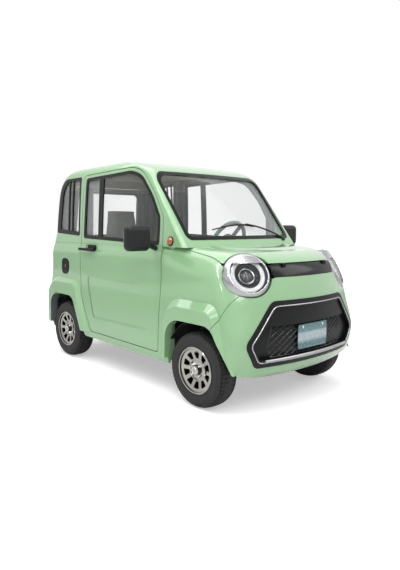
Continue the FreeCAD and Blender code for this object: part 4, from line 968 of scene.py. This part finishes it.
# roof lining, laid against the roof's inner face
roofLook = {"half": 0.43, "front": -0.11, "rear": 0.93, "gap": 0.006, "below": 1.4, "missed": 1.41}
liningSheet = begin("grid", "roof_lining", x_subdivisions=44, y_subdivisions=52, size=1.0)
sized(liningSheet, (2 * roofLook["half"], roofLook["rear"] - roofLook["front"], 1),
      (0, (roofLook["rear"] + roofLook["front"]) / 2, roofLook["below"]))
for vertex in liningSheet.data.vertices:
    spot, normal = skin(["roof_panel"], vertex.co, (0, 0, 1))
    if spot is not None:
        vertex.co.z = spot.z - roofLook["gap"]
lowest = min(v.co.z for v in liningSheet.data.vertices if v.co.z > roofLook["missed"])
for vertex in liningSheet.data.vertices:  # where the ray met nothing
    if vertex.co.z < roofLook["missed"]:
        vertex.co.z = lowest
change(liningSheet, "SOLIDIFY", thickness=0.004, offset=0.0)
deliver(liningSheet, felt, "body", 60)
panel("cabin_lamp", (-0.055, 0.1, 1.508), (0.055, 0.185, 1.528), 0.007, whiteGuide, "silver",
      toward("z", -1), (0.012, -0.003))
print("roof lining")


# dashboard: vents, cluster, screen, glovebox and knobs
def onDash(x, z):  # a point of the dash, seen from the seats
    return skin(["dashboard"], (x, 0.4, z), (0, -1, 0))[0]


ventLook = {"places": (-0.44, -0.085, 0.085, 0.44), "z": 0.872, "radius": 0.034, "pitch": 0.011}
vents = []
for x in ventLook["places"]:
    spot = onDash(x, ventLook["z"])
    vents.append(turned("vent", [(ventLook["radius"], -0.004), (0.04, -0.004), (0.041, 0.004), (0.038, 0.008),
                                 (ventLook["radius"], 0.006)], spot, (0, 1, 0), 32))
    for row in range(-2, 3):
        reach = math.sqrt(ventLook["radius"] ** 2 - (ventLook["pitch"] * row) ** 2)
        y, z = spot.y, spot.z + ventLook["pitch"] * row
        low, high = (x - reach, y - 0.001, z - 0.0015), (x + reach, y + 0.005, z + 0.0015)
        vents.append(block("slat", low, high, 0.0006, 1))
deliver(join("dash_vents", vents), satin, "body", 40)
panel("cluster_display", (0.165, frontAxle + 0.4565, 0.902), (0.335, frontAxle + 0.46, 0.966), 0.0015,
      screenGlass, "dash", toward("y"), (0.006, -0.0012))
y = onDash(0.0, 0.8).y
panel("centre_display", (-0.095, y - 0.01, 0.752), (0.095, y + 0.014, 0.842), 0.004, screenGlass, "dash",
      toward("y"), (0.008, -0.002))
y = onDash(-0.29, 0.78).y
gloveLid = block("glovebox_lid", (-0.43, y - 0.012, 0.735), (-0.15, y + 0.006, 0.825), 0.005)
inset(gloveLid, toward("y"), (0.01, 0.0), (0.002, -0.002))
latch = block("latch", (-0.315, y + 0.004, 0.806), (-0.265, y + 0.013, 0.818), 0.003)
deliver(join("glovebox", [gloveLid, latch]), moulded, "body")
knobs = [turned("knob", [(0.0001, -0.004), (0.019, -0.004), (0.019, 0.004), (0.0155, 0.006), (0.015, 0.018),
                         (0.013, 0.02), (0.0001, 0.02)], onDash(x, 0.722), (0, 1, 0), 28)
         for x in (-0.06, 0.0, 0.06)]
deliver(join("dash_knobs", knobs), satin, "body", 35)

# steering wheel: pad, rim grips and column stalks
wheelLook = {"lean": 24, "reach": 0.168, "grip": 0.0152, "grips": (55, 125, 235, 305)}
wheelCentre = Vector((0.25, frontAxle + 0.545, 0.962))
lean = math.radians(wheelLook["lean"])
wheelAxis = Vector((0, math.cos(lean), math.sin(lean)))
pad = turned("horn_pad", [(0.0001, 0.016), (0.046, 0.016), (0.062, 0.017), (0.064, 0.022), (0.06, 0.03),
                          (0.04, 0.036), (0.0001, 0.038)], wheelCentre, wheelAxis, 40)
inset(pad, lambda f: abs(f.normal.dot(wheelAxis)) > 0.97 and (mid(f) - wheelCentre).dot(wheelAxis) > 0.03,
      (0.006, -0.0015))
deliver(pad, wheelGrey, "steering_wheel", 40)
grips = []
turn = wheelAxis.to_track_quat("Z", "Y").to_matrix().to_4x4()
for middle in wheelLook["grips"]:
    line = []
    for a in range(-24, 25, 6):
        angle = math.radians(middle + a)
        around = Vector((math.cos(angle) * wheelLook["reach"], math.sin(angle) * wheelLook["reach"], 0))
        line.append(wheelCentre + turn @ around)
    grips.append(bead("grip", line, wheelLook["grip"], False, True, 3))
deliver(join("wheel_grips", grips), wheelGrey, "steering_wheel", 60)
start = wheelCentre - wheelAxis * 0.075
stalks = [bead("stalk", [start, start + Vector((sign * 0.06, 0.004, 0.01)),
                         start + Vector((sign * 0.125, 0.012, 0.018))], 0.0062) for sign in (-1, 1)]
column = turned("cowl", [(0.0235, -0.15), (0.046, -0.14), (0.048, -0.07), (0.04, -0.05), (0.0235, -0.048)],
                wheelCentre, wheelAxis, 32)
deliver(join("column_cover", stalks + [column]), satin, "body", 40)
print("dashboard")

# floor: mats, pedals, console and hand brake
for side, hand in sides:
    x = -hand * seatX
    panel("floor_mat_" + side, (x - 0.175, frontAxle + 0.38, 0.3003), (x + 0.175, frontAxle + 0.77, 0.305),
          0.001, carpet, "dash", toward("z"), (0.01, 0.003), (0.006, -0.003))
pedals = []
for x, wide in ((0.205, 0.034), (0.31, 0.022)):
    line = [(x, frontAxle + 0.33, 0.6), (x, frontAxle + 0.37, 0.5), (x, frontAxle + 0.385, 0.42)]
    arm = bead("arm", line, 0.007)
    foot = block("foot", (x - wide, frontAxle + 0.388, 0.375), (x + wide, frontAxle + 0.4, 0.455), 0.004)
    pick(foot, toward("y"))
    bpy.ops.mesh.subdivide(number_cuts=4)
    bpy.ops.mesh.inset(thickness=0.0012, depth=0.0018, use_individual=True)
    leave()
    pedals += [arm, foot]
deliver(join("pedals", pedals), rubber, "body", 40)
panel("console", (-0.055, frontAxle + 0.7, 0.3005), (0.055, frontAxle + 1.14, 0.42), 0.014, moulded, "dash",
      toward("z"), (0.012, -0.01))
brakeLine = [(0.0, frontAxle + 1.06, 0.415), (0.0, frontAxle + 0.96, 0.455), (0.0, frontAxle + 0.86, 0.475)]
button = turned("tip", [(0.0001, 0.0), (0.006, 0.0), (0.006, 0.008), (0.0001, 0.009)],
                (0.0, frontAxle + 0.862, 0.475), (0, -1, 0.15), 16)
deliver(join("hand_brake", [bead("lever", brakeLine, 0.011), button]), satin, "body", 40)
print("floor")

# door cards with armrest, pull and speaker
cardLook = {"x": 0.534, "front": frontAxle + 0.44, "rear": frontAxle + 1.12, "low": 0.37, "high": 0.885}
for side, sign in sides:
    a, b = sorted((sign * cardLook["x"], sign * (cardLook["x"] - 0.012)))
    card = block("card", (a, cardLook["front"], cardLook["low"]),
                 (b, cardLook["rear"], cardLook["high"]), 0.004)
    inset(card, toward("x", -sign), (0.03, 0.0), (0.006, -0.004))
    a, b = sorted((sign * (cardLook["x"] - 0.008), sign * (cardLook["x"] - 0.048)))
    rest = block("rest", (a, frontAxle + 0.62, 0.64), (b, frontAxle + 1.02, 0.68), 0.012, 3)
    speaker = turned("speaker", [(0.0001, 0.0), (0.066, 0.0), (0.068, 0.005), (0.06, 0.008), (0.056, 0.005),
                                 (0.03, 0.007), (0.0001, 0.008)],
                     (sign * (cardLook["x"] - 0.01), frontAxle + 0.56, 0.48), (-sign, 0, 0), 40)
    near, far = sign * (cardLook["x"] - 0.008), sign * (cardLook["x"] - 0.03)
    grab = bead("pull", [(near, frontAxle + 0.64, 0.76), (far, frontAxle + 0.65, 0.765),
                         (far, frontAxle + 0.74, 0.765), (near, frontAxle + 0.75, 0.76)], 0.006)
    deliver(join("door_card_" + side, [card, rest, speaker, grab]), moulded, "door_" + side, 40)
print("door cards")

# under the hood: tray, small battery, washer bottle, fuse box and their leads
bayLook = {"low": 0.604, "front": -1.0, "rear": -0.4725, "half": 0.246}
panel("bay_tray", (-bayLook["half"], bayLook["front"], bayLook["low"]),
      (bayLook["half"], bayLook["rear"], bayLook["low"] + 0.014), 0.003, satin, "black_trim",
      toward("z"), (0.016, 0.0), (0.003, -0.006))
cell = block("small_battery", (-0.205, -0.845, 0.612), (0.0, -0.715, 0.77), 0.005)
inset(cell, toward("z"), (0.01, 0.0), (0.002, -0.006))
posts = [turned("post", [(0.0001, 0.0), (0.011, 0.0), (0.0095, 0.015), (0.0001, 0.015)], (x, -0.815, 0.764),
                (0, 0, 1), 20) for x in (-0.175, -0.03)]
deliver(join("small_battery", [cell] + posts), satin, "body", 40)
bottle = block("washer_bottle", (0.055, -0.86, 0.612), (0.205, -0.72, 0.74), 0.02, 3)
inset(bottle, lambda f: abs(f.normal.y) > 0.9 or abs(f.normal.x) > 0.9, (0.014, -0.004), each=True)
neck = turned("neck", [(0.0001, 0.0), (0.024, 0.0), (0.024, 0.016), (0.028, 0.017), (0.028, 0.03),
                       (0.024, 0.033), (0.0001, 0.033)], (0.13, -0.79, 0.738), (0, 0, 1), 28)
deliver(join("washer_bottle", [bottle, neck]), whiteGuide, "body", 40)
panel("fuse_box", (0.04, -0.64, 0.612), (0.21, -0.52, 0.69), 0.008, satin, "black_trim",
      toward("z"), (0.008, 0.006))
leadLines = (
    [(-0.175, -0.815, 0.776), (-0.178, -0.76, 0.792), (-0.17, -0.69, 0.76), (-0.12, -0.6, 0.64),
     (0.045, -0.585, 0.64)],
    [(-0.03, -0.815, 0.776), (-0.026, -0.77, 0.79), (-0.02, -0.7, 0.74), (0.0, -0.64, 0.64),
     (0.045, -0.61, 0.64)])
leads = [bead("lead", line, 0.005) for line in leadLines]
deliver(join("bay_leads", leads), rubber, "body", 60)
print("under the hood")

# camera, as the photo was taken
view = {"place": (-2.633, -2.96, 1.092), "turn": 37.78, "dip": 4.0, "lens": 32.03, "shift": (0.0882, -0.0419)}
bpy.ops.object.camera_add(location=view["place"],
                          rotation=(math.radians(90 - view["dip"]), 0, math.radians(-view["turn"])))
camera = bpy.context.object
camera.data.lens = view["lens"]
camera.data.sensor_width = 36
camera.data.shift_x, camera.data.shift_y = view["shift"]
bpy.context.scene.camera = camera

# floor and light
studio = {"floor": 60.0, "tone": 0.86, "lift": 0.42, "fade": 0.2, "worldLight": 0.46}
floor = begin("plane", "studio_floor", size=studio["floor"], location=(0, 0, 0))
ground = Finish("studio floor", (studio["tone"],) * 3, 0.9)
seen = ground.node("LightPath", None, (), "Is Camera Ray")
away = ground.node("VectorMath", {"operation": "LENGTH"}, (ground.place(),), "Value") * studio["fade"]
glow = ground.band(away, ((0.0, (studio["lift"],) * 3), (0.42, (studio["lift"],) * 3), (0.9, (1, 1, 1))))
ground.put("Emission Color", ground.blend(seen, (0, 0, 0), glow))
ground.put("Emission Strength", 1.0)
floor.data.materials.append(ground.material)

world = bpy.data.worlds.new("studio")  # dim for its light, white where it is seen
bpy.context.scene.world = world
world.use_nodes = True
tree = world.node_tree
paths = tree.nodes.new("ShaderNodeLightPath")
total = paths.outputs["Is Camera Ray"]
for key in ("Is Glossy Ray", "Is Transmission Ray"):
    either = tree.nodes.new("ShaderNodeMath")
    either.operation = "MAXIMUM"
    tree.links.new(total, either.inputs[0])
    tree.links.new(paths.outputs[key], either.inputs[1])
    total = either.outputs[0]
shade = tree.nodes.new("ShaderNodeMix")
shade.data_type = "RGBA"
shade.inputs[6].default_value = (studio["worldLight"],) * 3 + (1,)
shade.inputs[7].default_value = (1, 1, 1, 1)
tree.links.new(total, shade.inputs[0])
tree.links.new(shade.outputs[2], tree.nodes["Background"].inputs["Color"])

lamps = [
    {"at": (-4.0, -4.5, 4.2), "to": (-0.3, -0.4, 0.7), "size": (3.0, 2.0), "power": 70},
    {"at": (3.5, -4.0, 3.5), "to": (0.2, -0.5, 0.8), "size": (2.5, 2.5), "power": 50},
    {"at": (-1.0, 0.5, 5.0), "to": (0, 0, 1.0), "size": (6.5, 5.5), "power": 210},
    {"at": (-1.9, -2.2, 3.0), "to": (-0.4, -0.8, 0.8), "size": (0.1, 2.2), "power": 16},
    {"at": (-0.3, -2.8, 3.0), "to": (-0.2, -0.9, 0.8), "size": (0.1, 2.2), "power": 16},
    {"at": (-2.6, -0.4, 2.8), "to": (-0.6, -0.2, 0.8), "size": (0.1, 2.2), "power": 16},
]
for number, lamp in enumerate(lamps):
    bpy.ops.object.light_add(type="AREA", location=lamp["at"])
    made = bpy.context.object
    made.name = "softbox_%d" % number
    made.data.shape = "RECTANGLE"
    made.data.size, made.data.size_y = lamp["size"]
    made.data.energy = lamp["power"]
    aim = Vector(lamp["to"]) - Vector(lamp["at"])
    made.rotation_euler = aim.to_track_quat("-Z", "Y").to_euler()
bpy.context.scene.view_settings.view_transform = "Standard"
print("camera and lights set")
